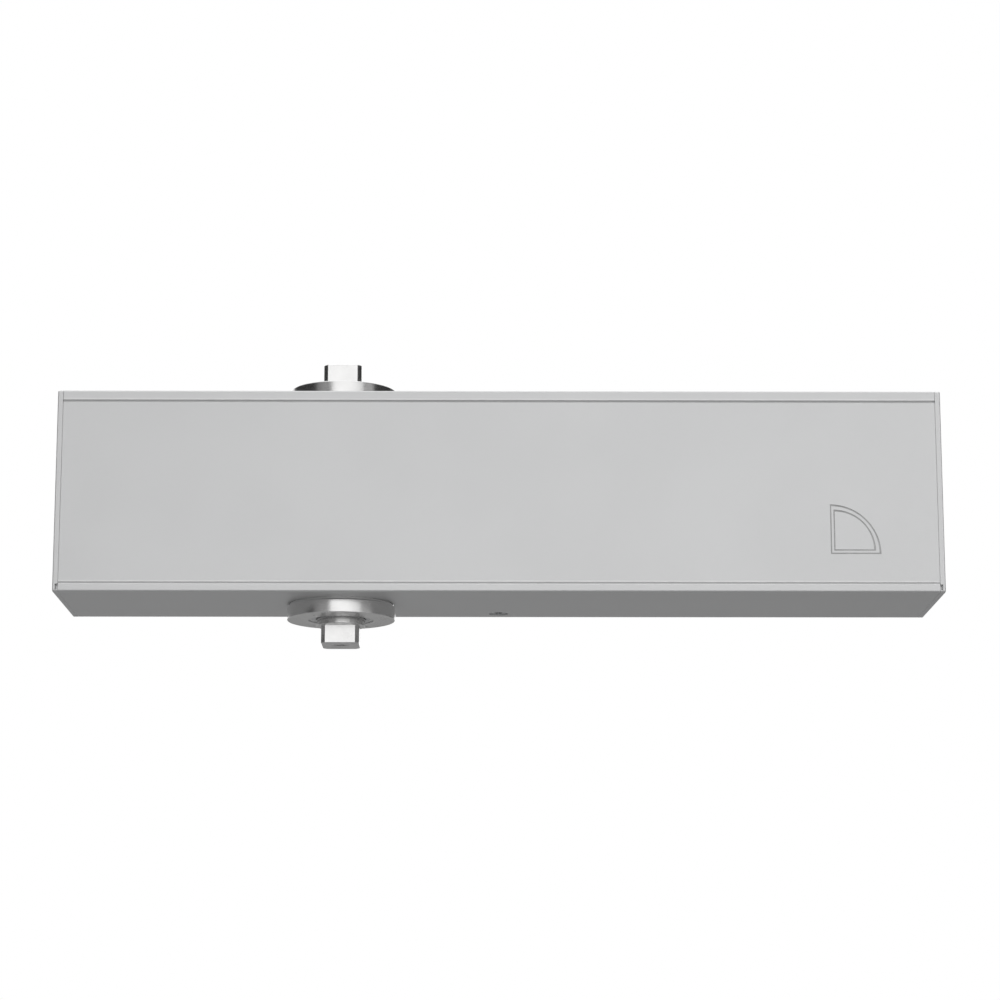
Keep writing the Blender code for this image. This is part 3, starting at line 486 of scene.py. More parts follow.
def grey(level: float, warmth: float = 0.0) -> Colour:
    """A grey of a linear level, a little warmer or cooler than neutral."""
    return (level * (1 + warmth), level, level * (1 - warmth), 1.0)


METALS = (
    MetalFinish(
        Slot.ANODISED, colour=grey(0.725, -0.005), shade=grey(0.713, -0.005), wear_and_highlight_colour=grey(0.86),
        roughness=0.4, roughness_change=0.007, grain=(900.0, 5200.0, 5200.0),
        grain_depth=0.0000022, blotch_scale=30.0, wear_and_highlight_amount=0.5, metallic=0.6,
    ),
    MetalFinish(
        Slot.CAST, colour=grey(0.5, 0.004), shade=grey(0.455, 0.004), wear_and_highlight_colour=grey(0.66),
        roughness=0.5, roughness_change=0.05, grain=(1900.0, 1900.0, 1900.0),
        grain_depth=0.00006, blotch_scale=130.0,
    ),
    MetalFinish(
        Slot.SATIN, colour=grey(0.78, 0.004), shade=grey(0.73, 0.006), wear_and_highlight_colour=grey(0.95),
        roughness=0.25, roughness_change=0.03, grain=(2500.0, 2500.0, 6000.0),
        grain_depth=0.0000015, blotch_scale=140.0, rings=9000.0, ring_depth=0.0000022,
    ),
    MetalFinish(
        Slot.GROUND, colour=grey(0.66, 0.004), shade=grey(0.57, 0.006), wear_and_highlight_colour=grey(0.85),
        roughness=0.18, roughness_change=0.05, grain=(9000.0, 700.0, 9000.0),
        grain_depth=0.000003, blotch_scale=120.0,
    ),
    MetalFinish(
        Slot.SPRING, colour=(0.105, 0.1, 0.098, 1.0), shade=(0.06, 0.058, 0.062, 1.0),
        wear_and_highlight_colour=grey(0.4), roughness=0.36, roughness_change=0.08, grain=(2600.0, 2600.0, 2600.0),
        grain_depth=0.000012, blotch_scale=150.0,
    ),
    MetalFinish(
        Slot.ZINC, colour=grey(0.6, -0.012), shade=grey(0.47, -0.02), wear_and_highlight_colour=grey(0.8),
        roughness=0.26, roughness_change=0.07, grain=(3000.0, 3000.0, 3000.0),
        grain_depth=0.000008, blotch_scale=200.0,
    ),
    MetalFinish(
        Slot.BRASS, colour=(0.72, 0.5, 0.2, 1.0), shade=(0.56, 0.36, 0.13, 1.0),
        wear_and_highlight_colour=(0.9, 0.68, 0.34, 1.0), roughness=0.24, roughness_change=0.06,
        grain=(7000.0, 2500.0, 2500.0), grain_depth=0.000006, blotch_scale=260.0,
    ),
)
# The engraved lines' darker tone is painted shade in their grooves.
ENGRAVED_LINE_SHADE = MetalFinish(
    Slot.ANODISED, colour=grey(0.56), shade=grey(0.48), wear_and_highlight_colour=grey(0.6), roughness=0.55,
    roughness_change=0.05, grain=(6000.0, 6000.0, 6000.0), grain_depth=0.000008,
    blotch_scale=300.0, wear_and_highlight_amount=0.0, metallic=0.6, name="engraved_line_painted_shade",
)


class Finishes:
    """Every finish, built once, with the calls that put one on a piece."""

    def __init__(self) -> None:
        """Builds the shared effects and all the materials."""
        effects = Effects()
        self.by_slot = {finish.slot: finish.material(effects) for finish in METALS}
        self.by_slot[Slot.RUBBER] = RubberFinish().material(effects)
        self.engraved_line_shade = ENGRAVED_LINE_SHADE.material(effects)

    def dress(self, piece: Piece, slot: Slot) -> None:
        """Gives a new piece its finish and its record slot."""
        if piece.data.materials:
            piece.data.materials[0] = self.by_slot[slot]
        else:
            piece.data.materials.append(self.by_slot[slot])

    def dress_nodes(self, names: Iterable[str], slot: Slot) -> None:
        """Gives the frame's own pieces their finish."""
        for name in names:
            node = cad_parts[name]
            for number in range(len(node.material_slots)):
                node.material_slots[number].material = self.by_slot[slot]
            log.info("dressed %s in %s", name, slot.value)


# --- Mesh making ----------------------------------------------------------------------------------


def circle(radius: float, height: float, count: int) -> Ring:
    """A ring of points about the Z axis.

    Args:
        radius: the ring's radius.
        height: its Z.
        count: how many points it has.

    Returns:
        The points.
    """
    turns = [number * math.tau / count for number in range(count)]
    return [Vector((radius * math.cos(a), radius * math.sin(a), height)) for a in turns]


def arc(centre: Point, radius: float, start: float, end: float, steps: int) -> list[Point]:
    """Points on an arc, from one angle in degrees to another."""
    turns = [math.radians(start + (end - start) * n / steps) for n in range(steps + 1)]
    return [(centre[0] + radius * math.cos(a), centre[1] + radius * math.sin(a)) for a in turns]


def eased(points: Sequence[Point], radius: float, steps: int = 4, loop: bool = True) -> list[Point]:
    """Rounds every corner of an outline.

    Args:
        points: the outline's corners.
        radius: how far back from each corner its curve starts, less where a side is short.
        steps: the pieces of each curve.
        loop: whether the outline closes on itself; if not, its two ends stay as they are.

    Returns:
        The rounded outline.
    """
    result: list[Point] = []
    count = len(points)
    for number, corner in enumerate(points):
        if not loop and number in (0, count - 1):
            result.append(corner)
            continue
        here = Vector(corner)
        before = Vector(points[number - 1]) - here
        after = Vector(points[(number + 1) % count]) - here
        reach = min(radius, before.length * 0.45, after.length * 0.45)
        start = here + before.normalized() * reach
        end = here + after.normalized() * reach
        for step in range(steps + 1):
            t = step / steps
            spot = start * (1 - t) ** 2 + here * (2 * t * (1 - t)) + end * t**2
            result.append((spot.x, spot.y))
    return result


def loft(
    name: str, rings: Sequence[Ring], loop: bool = False, at: Vector | None = None
) -> Piece:
    """A mesh skinned over rings that all have the same number of points.

    Args:
        name: the object's name.
        rings: the rings in order.
        loop: whether the last ring joins the first; if not, both are capped.
        at: a shift for every point.

    Returns:
        The object, linked to the scene.
    """
    shift = at or Vector()
    work = bmesh.new()
    rows = [[work.verts.new(point + shift) for point in ring] for ring in rings]
    pairs = list(zip(rows, rows[1:]))
    if loop:
        pairs.append((rows[-1], rows[0]))
    count = len(rows[0])
    for low, high in pairs:
        for number in range(count):
            after = (number + 1) % count
            work.faces.new((low[number], low[after], high[after], high[number]))
    if not loop:
        work.faces.new(list(reversed(rows[0])))
        work.faces.new(rows[-1])
    bmesh.ops.recalc_face_normals(work, faces=work.faces)
    mesh = bpy.data.meshes.new(name)
    work.to_mesh(mesh)
    work.free()
    piece = bpy.data.objects.new(name, mesh)
    bpy.context.scene.collection.objects.link(piece)
    return piece


def turned(
    name: str, profile: Sequence[Point], loop: bool, segments: int = 128, turn_over: bool = False
) -> Piece:
    """A piece turned about the spindle's axis.

    Args:
        name: the object's name.
        profile: (radius, height) points in order.
        loop: whether the profile closes on itself.
        segments: the sides of each ring.
        turn_over: whether heights count downwards.

    Returns:
        The object.
    """
    sign = -1.0 if turn_over else 1.0
    rings = [circle(radius, sign * height, segments) for radius, height in profile]
    return loft(name, rings, loop, SPINDLE_AXIS)


def prism(
    name: str, outline: Sequence[Point], start: float, end: float, lay: Callable[..., Vector]
) -> Piece:
    """A piece of constant outline.

    Args:
        name: the object's name.
        outline: its corners in order.
        start: where it starts along its length.
        end: where it ends.
        lay: gives the place of an outline's point (a, b) at a distance along the length.

    Returns:
        The object.
    """
    rings = [[lay(a, b, along) for a, b in outline] for along in (start, end)]
    return loft(name, rings)


def along_x(y: float, z: float, x: float) -> Vector:
    """Lays a (y, z) outline across the closer's length."""
    return Vector((x, y, z))


def along_z(x: float, y: float, z: float) -> Vector:
    """Lays an (x, y) outline across the spindle."""
    return Vector((x, y, z))


def along_y(x: float, z: float, y: float) -> Vector:
    """Lays an (x, z) outline on the face towards the room."""
    return Vector((x, y, z))


def apply_modifiers(piece: Piece) -> None:
    """Turns the piece's modifiers into its mesh."""
    graph = bpy.context.evaluated_depsgraph_get()
    mesh = bpy.data.meshes.new_from_object(piece.evaluated_get(graph))
    old = piece.data
    piece.modifiers.clear()
    piece.data = mesh
    mesh.name = piece.name
    bpy.data.meshes.remove(old)


def carve(
    piece: Piece,
    tools: Sequence[Piece],
    operation: str = "DIFFERENCE",
) -> None:
    """Cuts tools out of a piece, or adds them to it, and removes the tools.

    Args:
        piece: the piece to change.
        tools: the closed meshes to use.
        operation: DIFFERENCE or UNION.
    """
    for tool in tools:
        step = piece.modifiers.new("carve", "BOOLEAN")
        step.operation = operation
        step.solver = "EXACT"
        step.material_mode = "TRANSFER"
        step.object = tool
    apply_modifiers(piece)
    for tool in tools:
        mesh = tool.data
        bpy.data.objects.remove(tool)
        bpy.data.meshes.remove(mesh)


def merge(piece: Piece, others: Sequence[Piece]) -> None:
    """Takes other meshes into a piece as they stand."""
    work = bmesh.new()
    work.from_mesh(piece.data)
    for other in others:
        mesh = other.data
        work.from_mesh(mesh)
        bpy.data.objects.remove(other)
        bpy.data.meshes.remove(mesh)
    work.to_mesh(piece.data)
    work.free()


def ease_edges(piece: Piece, width: float, sharper_than: float, steps: int = 2) -> None:
    """Breaks the sharp edges of a piece.

    Args:
        piece: the piece.
        width: how wide each edge is broken.
        sharper_than: only edges that turn by more than this many degrees are broken.
        steps: the pieces of each broken edge.
    """
    bevel = piece.modifiers.new("ease", "BEVEL")
    bevel.width = width
    bevel.segments = steps
    bevel.limit_method = "ANGLE"
    bevel.angle_limit = math.radians(sharper_than)
    bevel.use_clamp_overlap = True
    bevel.miter_outer = "MITER_ARC"
    apply_modifiers(piece)


def mark_wear_and_highlight_faces(piece: Piece, widest: float) -> None:
    """Marks the narrow faces that break edges, where handling rubs first and where a painted
    highlight goes.

    Args:
        piece: the piece.
        widest: the width of the widest face that counts.
    """
    mesh = piece.data
    values = []
    for face in mesh.polygons:
        corners = [mesh.vertices[i].co for i in face.vertices]
        rim = sum((a - b).length for a, b in zip(corners, corners[1:] + corners[:1]))
        values.append(1.0 if 2 * face.area / max(rim, 1e-9) < widest else 0.0)
    marks = mesh.attributes.new("edge", "FLOAT", "FACE")
    marks.data.foreach_set("value", values)


def shade(piece: Piece, angle: float = 32.0, edge_width: float = 0.0) -> None:
    """Smooths the shading up to an angle, and keeps flat faces flat beside small ones.

    Args:
        piece: the piece.
        angle: edges that turn by more degrees than this stay sharp.
        edge_width: if not 0, faces narrower than this are marked for edge wear and a painted
            highlight.
    """
    mesh = piece.data
    mesh.polygons.foreach_set("use_smooth", [True] * len(mesh.polygons))
    mesh.set_sharp_from_angle(angle=math.radians(angle))
    weighted = piece.modifiers.new("weigh", "WEIGHTED_NORMAL")
    weighted.keep_sharp = True
    weighted.weight = 60
    apply_modifiers(piece)
    if edge_width:
        mark_wear_and_highlight_faces(piece, edge_width)


def put_on(piece: Piece, body: str, *nodes: str) -> None:
    """Sets a piece to ride on a body in place of some of the frame's nodes, and reports it."""
    if nodes:
        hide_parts(*nodes)
    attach(piece, body)
    log.info("built %s: %d faces", piece.name, len(piece.data.polygons))


# --- The cover ------------------------------------------------------------------------------------


@dataclass
class Emblem:
    """A plain door-swing mark on the cover: a leaf and its quarter circle, in double lines."""

    left: float = 0.1405
    bottom: float = -0.0183
    size: float = 0.0144
    line: float = 0.00034
    gap: float = 0.00062
    depth: float = 0.00012
    arc_inset: float = 0.6  # how much further the arc is drawn in, as a share of the inset

    def _sector(self, inset: float) -> list[Point]:
        """The outline of the swing's quarter circle, moved in by a distance."""
        corner = (self.left + inset, self.bottom + inset)
        reach = self.size - 2 * inset - self.arc_inset * inset
        return [corner] + arc(corner, reach, 0.0, 90.0, 40)

    def _line(self, name: str, inset: float, face: float) -> Piece:
        """One closed line of the mark.

        Args:
            name: the tool's name.
            inset: how far the line's outer side lies inside the mark.
            face: the Y of the cover's face.

        Returns:
            A cutter whose section is as wide as the line.
        """
        outer = self._sector(inset)
        inner = self._sector(inset + self.line)
        front, back = face - 0.0005, face + self.depth
        rings = [
            [along_y(x, z, front) for x, z in outer],
            [along_y(x, z, back) for x, z in outer],
            [along_y(x, z, back) for x, z in inner],
            [along_y(x, z, front) for x, z in inner],
        ]
        return loft(name, rings, loop=True)

    def tools(self, face: float) -> list[Piece]:
        """The cutters for both lines."""
        return [
            self._line("mark_outer", 0.0, face),
            self._line("mark_inner", self.line + self.gap, face),
        ]


@dataclass
class Cover:
    """The extruded cover: grooved front, slots for the cap nuts, hole for its screw."""

    wall: float = 0.0015
    edge_radius: float = 0.0006
    upper_groove: tuple[float, float, float, float] = (0.02655, 0.0004, 0.00035, 0.0002)
    lower_groove: tuple[float, float, float, float] = (-0.0266, 0.00012, 0.0003, 0.0002)
    lip_offset: float = 0.0001
    lip_strip: float = 0.00007
    lip_strips: int = 6
    lip_round: Point = (0.00006, 0.00003)
    foot_round: Point = (0.00005, 0.00015)
    fillet: float = 0.0006
    slot_radius: float = 0.01525
    screw_x: float = 0.045984
    screw_y: float = -0.006
    screw_hole_radius: float = 0.0028
    emblem: Emblem = field(default_factory=Emblem)

    def _outline(self, low: Vector, high: Vector) -> list[Point]:
        """The cover's section as (y, z), round the outside and back along the inside."""
        front, rear, top = low.y, high.y, high.z
        corner = (front + self.edge_radius, top - self.edge_radius)
        upper = [(rear, top)] + arc(corner, self.edge_radius, 90.0, 180.0, 8)
        outside = list(upper)
        for lip, depth, slope, foot in (self.upper_groove, self.lower_groove):
            # The lip is cut into strips narrow enough to count as edge faces, so it takes the
            # lighter edge colour: a painted highlight line above each groove.
            strips = range(self.lip_strips, 0, -1)
            start, end = lip + self.lip_offset, lip - slope - foot
            outside += [(front, start + self.lip_strip * number) for number in strips]
            outside += [
                (front, start),
                (front + self.lip_round[0], lip - self.lip_round[1]),
                (front + depth, lip - slope),
                (front + depth, end),
                (front + self.foot_round[0], end - self.foot_round[0]),
                (front, end - self.foot_round[1]),
            ]
        outside += [(y, -z) for y, z in reversed(upper)]
        inner_front, inner_top, fillet = front + self.wall, top - self.wall, self.fillet
        inside = [(rear, -inner_top)]
        inside += arc((inner_front + fillet, -inner_top + fillet), fillet, 270.0, 180.0, 6)
        inside += arc((inner_front + fillet, inner_top - fillet), fillet, 180.0, 90.0, 6)
        inside.append((rear, inner_top))
        return outside + inside

    def _slot_tool(self, high: Vector) -> Piece:
        """The cutter for both nut slots: a round open to the rear."""
        rear = high.y + 0.002
        outline = [(self.slot_radius, rear), (-self.slot_radius, rear)]
        outline += arc((0.0, SPINDLE_Y), self.slot_radius, 180.0, 360.0, 96)
        return prism("slot_tool", outline, -0.05, 0.05, along_z)

    def build(self, finishes: Finishes) -> None:
        """Builds and dresses the cover.

        Args:
            finishes: the materials.
        """
        low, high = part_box("front_cover")
        cover = prism("cover_shell", self._outline(low, high), low.x, high.x, along_x)
        spot = Vector((self.screw_x, self.screw_y, 0.0))
        rings = [circle(self.screw_hole_radius, z, 48) for z in (low.z - 0.002, low.z + 0.004)]
        carve(cover, [self._slot_tool(high), loft("hole_tool", rings, at=spot)])
        ease_edges(cover, width=0.00014, sharper_than=40.0)
        cover.data.materials.append(finishes.by_slot[Slot.ANODISED])
        # The mark's cutters pass a darker finish to the groove faces: painted shade in the engraved
        # lines.
        tools = self.emblem.tools(low.y)
        for tool in tools:
            tool.data.materials.append(finishes.engraved_line_shade)
        carve(cover, tools)
        shade(cover, angle=32.0, edge_width=0.00008)
        finishes.dress(cover, Slot.ANODISED)
        put_on(cover, "housing", "front_cover")


@dataclass
class EndCap:
    """A thin plate that closes one end of the cover, with the spigot that holds it."""

    side: Side
    thickness: float = 0.00157
    corner_radius: float = 0.0006
    rim_radius: float = 0.00032
    joint_ease: float = 0.00004
    spigot_wall: float = 0.0012
    spigot_inset: float = 0.0018
    spigot_ease: float = 0.0002
    rear_gap: float = 0.0003
    notch_height: float = 0.0017
    notch_depth: float = 0.0014
    notch_foot: float = 0.0006
    notch_reach: Point = (-0.0005, 0.0008)

    def _ring(self, low: Vector, high: Vector, inset: float, x: float) -> Ring:
        """The cap's outline at one X, drawn in by a distance."""
        front, top, rear = low.y + inset, high.z - inset, high.y - inset * 0.4
        radius = max(self.corner_radius - inset * 0.5, 0.0001)
        corner = (front + radius, top - radius)
        upper = [(rear, top)] + arc(corner, radius, 90.0, 180.0, 8)
        return [along_x(y, z, x) for y, z in upper + [(y, -z) for y, z in reversed(upper)]]

    def _pry_notch(self, low: Vector, inner: float) -> Piece:
        """The cutter for the small slot at the lower front corner, for levering the cap off."""
        near, far = sorted(inner + self.side.value * reach for reach in self.notch_reach)
        foot, back = low.z + self.notch_foot, low.y + self.notch_depth
        head, front = foot + self.notch_height, low.y - 0.001
        outline = [(front, foot), (back, foot), (back, head), (front, head)]
        return prism("pry_tool", outline, near, far, along_x)

    def build(self, finishes: Finishes) -> None:
        """Builds and dresses the cap.

        Args:
            finishes: the materials.
        """
        node = self.side.name.lower() + "_end_cap"
        low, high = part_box(node)
        outward = self.side.value
        tip, outer = (low.x, high.x) if self.side is Side.RIGHT else (high.x, low.x)
        inner = outer - outward * self.thickness
        rings = [self._ring(low, high, self.joint_ease, inner)]
        rings.append(self._ring(low, high, 0.0, inner + outward * self.joint_ease))
        for step in range(7):
            turn = math.pi / 2 * step / 6
            inset = self.rim_radius * (1 - math.cos(turn))
            reach = self.rim_radius * (1 - math.sin(turn))
            rings.append(self._ring(low, high, inset, outer - outward * reach))
        cap = loft("cover_end_" + self.side.name.lower(), rings)
        carve(cap, [self._pry_notch(low, inner)])
        front, rear, top = low.y + self.spigot_inset, high.y - self.rear_gap, high.z
        top -= self.spigot_inset
        under, behind = top - self.spigot_wall, front + self.spigot_wall
        upper = [(rear, top), (front, top)]
        lower = [(rear, -under), (behind, -under)]
        spigot = upper + [(front, -top), (rear, -top)] + lower + [(behind, under), (rear, under)]
        inside = prism("spigot", spigot, inner + outward * self.thickness / 2, tip, along_x)
        ease_edges(inside, width=self.spigot_ease, sharper_than=40.0)
        merge(cap, [inside])
        shade(cap, angle=32.0, edge_width=0.00012)
        finishes.dress(cap, Slot.ANODISED)
        put_on(cap, "housing", node)


@dataclass
class CoverScrew:
    """The small socket screw in the cover's underside."""

    head_radius: float = 0.0025
    head_height: float = 0.002
    shank_radius: float = 0.0019
    socket_radius: float = 0.00125
    socket_depth: float = 0.0012
    pitch: float = 0.0007
    thread_depth: float = 0.00032
    thread_start: float = 0.0004
    thread_end: float = 0.0008
    tip_cone: float = 0.0005
    head_round: float = 0.00035
    centre: float = 0.00005

    def build(self, finishes: Finishes) -> None:
        """Builds and dresses the screw.

        Args:
            finishes: the materials.
        """
        low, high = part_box("cover_screw")
        middle = (low + high) / 2
        corners = [
            (self.centre, 0.0),
            (self.head_radius, 0.0),
            (self.head_radius, self.head_height),
            (self.shank_radius, self.head_height),
        ]
        head = eased(corners, self.head_round, loop=False)
        length = high.z - low.z
        threads = []
        height = self.head_height + self.thread_start
        while height < length - self.thread_end:
            threads += [
                (self.shank_radius - self.thread_depth, height),
                (self.shank_radius, height + self.pitch / 2),
            ]
            height += self.pitch
        tip = [(self.shank_radius - self.tip_cone, length), (self.centre, length)]
        rings = [circle(radius, up, 64) for radius, up in head + threads + tip]
        spot = Vector((middle.x, middle.y, low.z))
        screw = loft("cover_fixing_screw", rings, at=spot)
        socket = [circle(self.socket_radius, z, 6) for z in (-0.001, self.socket_depth)]
        carve(screw, [loft("socket_tool", socket, at=spot)])
        ease_edges(screw, width=0.00006, sharper_than=50.0)
        shade(screw, angle=32.0, edge_width=0.0001)
        finishes.dress(screw, Slot.ZINC)
        put_on(screw, "housing", "cover_screw")


# --- Spindle and cap nuts -------------------------------------------------------------------------


@dataclass
class CapNut:
    """A round nut that closes the spindle boss: rim, undercut, spanner holes and wiper recess."""

    end: End
    radius: float = 0.0157
    flange: float = 0.0277
    spigot_radius: float = 0.0137
    bore_radius: float = 0.0074
    pocket_radius: float = 0.01045
    pocket_top: float = 0.0269
    recess_radius: float = 0.0094
    recess_depth: float = 0.0009
    undercut: float = 0.0006
    undercut_top: float = 0.0301
    cone: float = 0.0001
    spanner_circle: float = 0.01155
    spanner_radius: float = 0.0012
    spanner_depth: float = 0.003
    spanner_cone: float = 0.0005
    spanner_floor: float = 0.3  # the radius of the hole's flat floor, as a share of the hole's
    spanner_angle: float = 56.0
    corner_round: float = 0.00035
    guard_inner: float = 0.0073
    guard_outer: float = 0.0085
    guard_height: float = 0.0004
    guard_round: float = 0.0002

    def _profile(self, bottom: float, top: float) -> list[Point]:
        """The nut's section as (radius, height above the middle)."""
        corners = [
            (self.recess_radius, top),
            (self.radius, top - self.cone),
            (self.radius, self.undercut_top),
            (self.radius - self.undercut, self.undercut_top),
            (self.radius - self.undercut, self.flange),
            (self.spigot_radius, self.flange),
            (self.spigot_radius, bottom),
            (self.pocket_radius, bottom),
            (self.pocket_radius, self.pocket_top),
            (self.bore_radius, self.pocket_top),
            (self.bore_radius, top - self.recess_depth),
            (self.recess_radius, top - self.recess_depth),
        ]
        return eased(corners, self.corner_round)

    def build(self, finishes: Finishes) -> None:
        """Builds and dresses the nut.

        Args:
            finishes: the materials.
        """
        word = self.end.name.lower()
        low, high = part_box(word + "_cap_nut")
        down = self.end is End.BOTTOM
        top = -low.z if down else high.z
        bottom = -high.z if down else low.z
        profile = self._profile(bottom, top)
        nut = turned("spindle_nut_" + word, profile, loop=True, segments=160, turn_over=down)
        tools = []
        for number in range(2):
            angle = math.radians(self.spanner_angle + 180.0 * number)
            spot = Vector(
                (
                    self.spanner_circle * math.cos(angle),
                    SPINDLE_Y + self.spanner_circle * math.sin(angle),
                    self.end.value * top,
                )
            )
            rings = [
                circle(self.spanner_radius * self.spanner_floor, -self.spanner_depth, 40),
                circle(self.spanner_radius, -self.spanner_depth + self.spanner_cone, 40),
                circle(self.spanner_radius, 0.001, 40),
            ]
            if down:
                rings = [[Vector((p.x, p.y, -p.z)) for p in ring] for ring in rings]
            tools.append(loft("spanner_tool", rings, at=spot))
        carve(nut, tools)
        ease_edges(nut, width=0.00009, sharper_than=50.0)
        shade(nut, angle=32.0, edge_width=0.00015)
        finishes.dress(nut, Slot.SATIN)
        put_on(nut, "housing", word + "_cap_nut")
        self._wiper(top, finishes)

    def _wiper(self, top: float, finishes: Finishes) -> None:
        """Adds the steel ring that sits round the shaft in the nut's recess."""
        seat = top - self.recess_depth
        face = seat + self.guard_height
        near, far = self.guard_inner, self.guard_outer
        ring = eased([(near, face), (far, face), (far, seat), (near, seat)], self.guard_round)
        name = "shaft_guard_" + self.end.name.lower()
        guard = turned(name, ring, loop=True, turn_over=self.end is End.BOTTOM)
        shade(guard)
        finishes.dress(guard, Slot.ZINC)
        put_on(guard, "housing")


@dataclass
class Spindle:
    """The pinion shaft: two square ends with tapped holes, journals, shoulders and teeth."""

    journal_radius: float = 0.007
    square: float = 0.011
    square_start: float = 0.0359
    shoulder_radius: float = 0.009
    shoulder_end: float = 0.0168
    core_radius: float = 0.0075
    gear_half_length: float = 0.0149
    hole_radius: float = 0.0025
    hole_depth: float = 0.014
    thread_pitch: float = 0.001
    thread_depth: float = 0.00045
    drill_point: float = 0.0012
    centre: float = 0.0003
    mouth: float = 0.001
    chamfer: float = 0.0005
    ease: float = 0.0002
    teeth: int = 10
    module: float = 0.002
    pressure_angle: float = 25.0
    backlash: float = 0.00015
    tooth_ease: float = 0.0004
    tip_radius: float = 0.0116
    root_radius: float = 0.0079

    def _angles(self) -> list[float]:
        """The angles of every ring's points, with one at each end of each flat."""
        start = math.degrees(math.acos(self.square / 2 / self.journal_radius))
        angles = []
        for quarter in range(4):
            flat = [-start + 2 * start * n / 24 for n in range(25)]
            corner = [start + (90.0 - 2 * start) * n / 5 for n in range(1, 5)]
            angles += [math.radians(90.0 * quarter + angle) for angle in flat + corner]
        return angles

    def _round(self, radius: float, height: float) -> Ring:
        """A round ring."""
        turns = self._angles()
        return [Vector((radius * math.cos(a), radius * math.sin(a), height)) for a in turns]

    def _squared(self, inset: float, height: float) -> Ring:
        """A ring round the square, whose corners are the bar's own round."""
        ring = []
        for angle in self._angles():
            side = max(abs(math.cos(angle)), abs(math.sin(angle)))
            radius = min(self.journal_radius - inset, (self.square / 2 - inset) / side)
            ring.append(Vector((radius * math.cos(angle), radius * math.sin(angle), height)))
        return ring

    def _upper_half(self, top: float) -> list[Ring]:
        """The rings from the bottom of the tapped hole, up, over the end and down to the middle."""
        hole, root = self.hole_radius, self.hole_radius + self.thread_depth
        floor = top - self.hole_depth
        rings = [self._round(self.centre, floor - self.drill_point), self._round(hole, floor)]
        height = floor + self.thread_pitch
        while height < top - 0.0011:
            rings.append(self._round(hole, height))
            rings.append(self._round(root, height + self.thread_pitch / 2))
            height += self.thread_pitch
        rings.append(self._round(hole + 0.0004, top - 0.0006))
        rings.append(self._round(hole + self.mouth, top))
        for step in range(5):
            turn = math.pi / 2 * step / 4
            inset = self.chamfer * (1 - math.sin(turn))
            drop = self.chamfer * (1 - math.cos(turn))
            rings.append(self._squared(inset, top - drop))
        rings.append(self._squared(0.0, self.square_start + 0.0003))
        rings.append(self._squared(0.00006, self.square_start + 0.00006))
        ease, shoulder_foot = self.ease, self.gear_half_length - self.ease
        corners = [
            (self.journal_radius - ease, self.square_start),
            (self.journal_radius, self.square_start - ease),
            (self.journal_radius, self.shoulder_end),
            (self.shoulder_radius, self.shoulder_end),
            (self.shoulder_radius, shoulder_foot),
            (self.core_radius, shoulder_foot),
            (self.core_radius, 0.0001),
        ]
        outline = eased(corners, ease, loop=False)
        rings += [self._round(radius, height) for radius, height in outline]
        return rings

    def _involute(self, radius: float) -> float:
        """The angle that an involute has unrolled by at a radius."""
        base = self.module * self.teeth / 2 * math.cos(math.radians(self.pressure_angle))
        pressure = math.acos(min(1.0, base / radius))
        return math.tan(pressure) - pressure

    def _gear(self) -> Piece:
        """The toothed part, its ends chamfered."""
        pitch_radius = self.module * self.teeth / 2
        base = pitch_radius * math.cos(math.radians(self.pressure_angle))
        thickness = math.pi * self.module / 2 - self.backlash
        half_at_base = thickness / 2 / pitch_radius + self._involute(pitch_radius)
        side = [(self.root_radius, half_at_base + 0.02)]
        for step in range(11):
            radius = base + (self.tip_radius - base) * step / 10
            side.append((radius, half_at_base - self._involute(radius)))
        polar: list[Point] = []
        for tooth in range(self.teeth):
            middle = -math.pi / 2 + tooth * math.tau / self.teeth
            polar += [(radius, middle - half) for radius, half in side]
            polar += [(radius, middle + half) for radius, half in reversed(side)]

        def section(inset: float, height: float) -> Ring:
            """The teeth's outline, its tips drawn in."""
            tips = [(min(radius, self.tip_radius - inset), angle) for radius, angle in polar]
            return [Vector((r * math.cos(a), r * math.sin(a), height)) for r, a in tips]

        half, ease = self.gear_half_length, self.tooth_ease
        rings = [
            section(2 * ease, -half),
            section(0.0, -half + ease),
            section(0.0, half - ease),
            section(2 * ease, half),
        ]
        return loft("teeth", rings, at=SPINDLE_AXIS)

    def build(self, finishes: Finishes) -> None:
        """Builds and dresses the shaft.

        Args:
            finishes: the materials.
        """
        upper = self._upper_half(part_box("pinion_shaft")[1].z)
        lower = [[Vector((p.x, p.y, -p.z)) for p in ring] for ring in reversed(upper)]
        shaft = loft("spindle_shaft", upper + lower, at=SPINDLE_AXIS)
        merge(shaft, [self._gear()])
        shade(shaft, angle=28.0, edge_width=0.00018)
        finishes.dress(shaft, Slot.SATIN)
        put_on(shaft, "pinion", "pinion_shaft")


# --- Spring ---------------------------------------------------------------------------------------


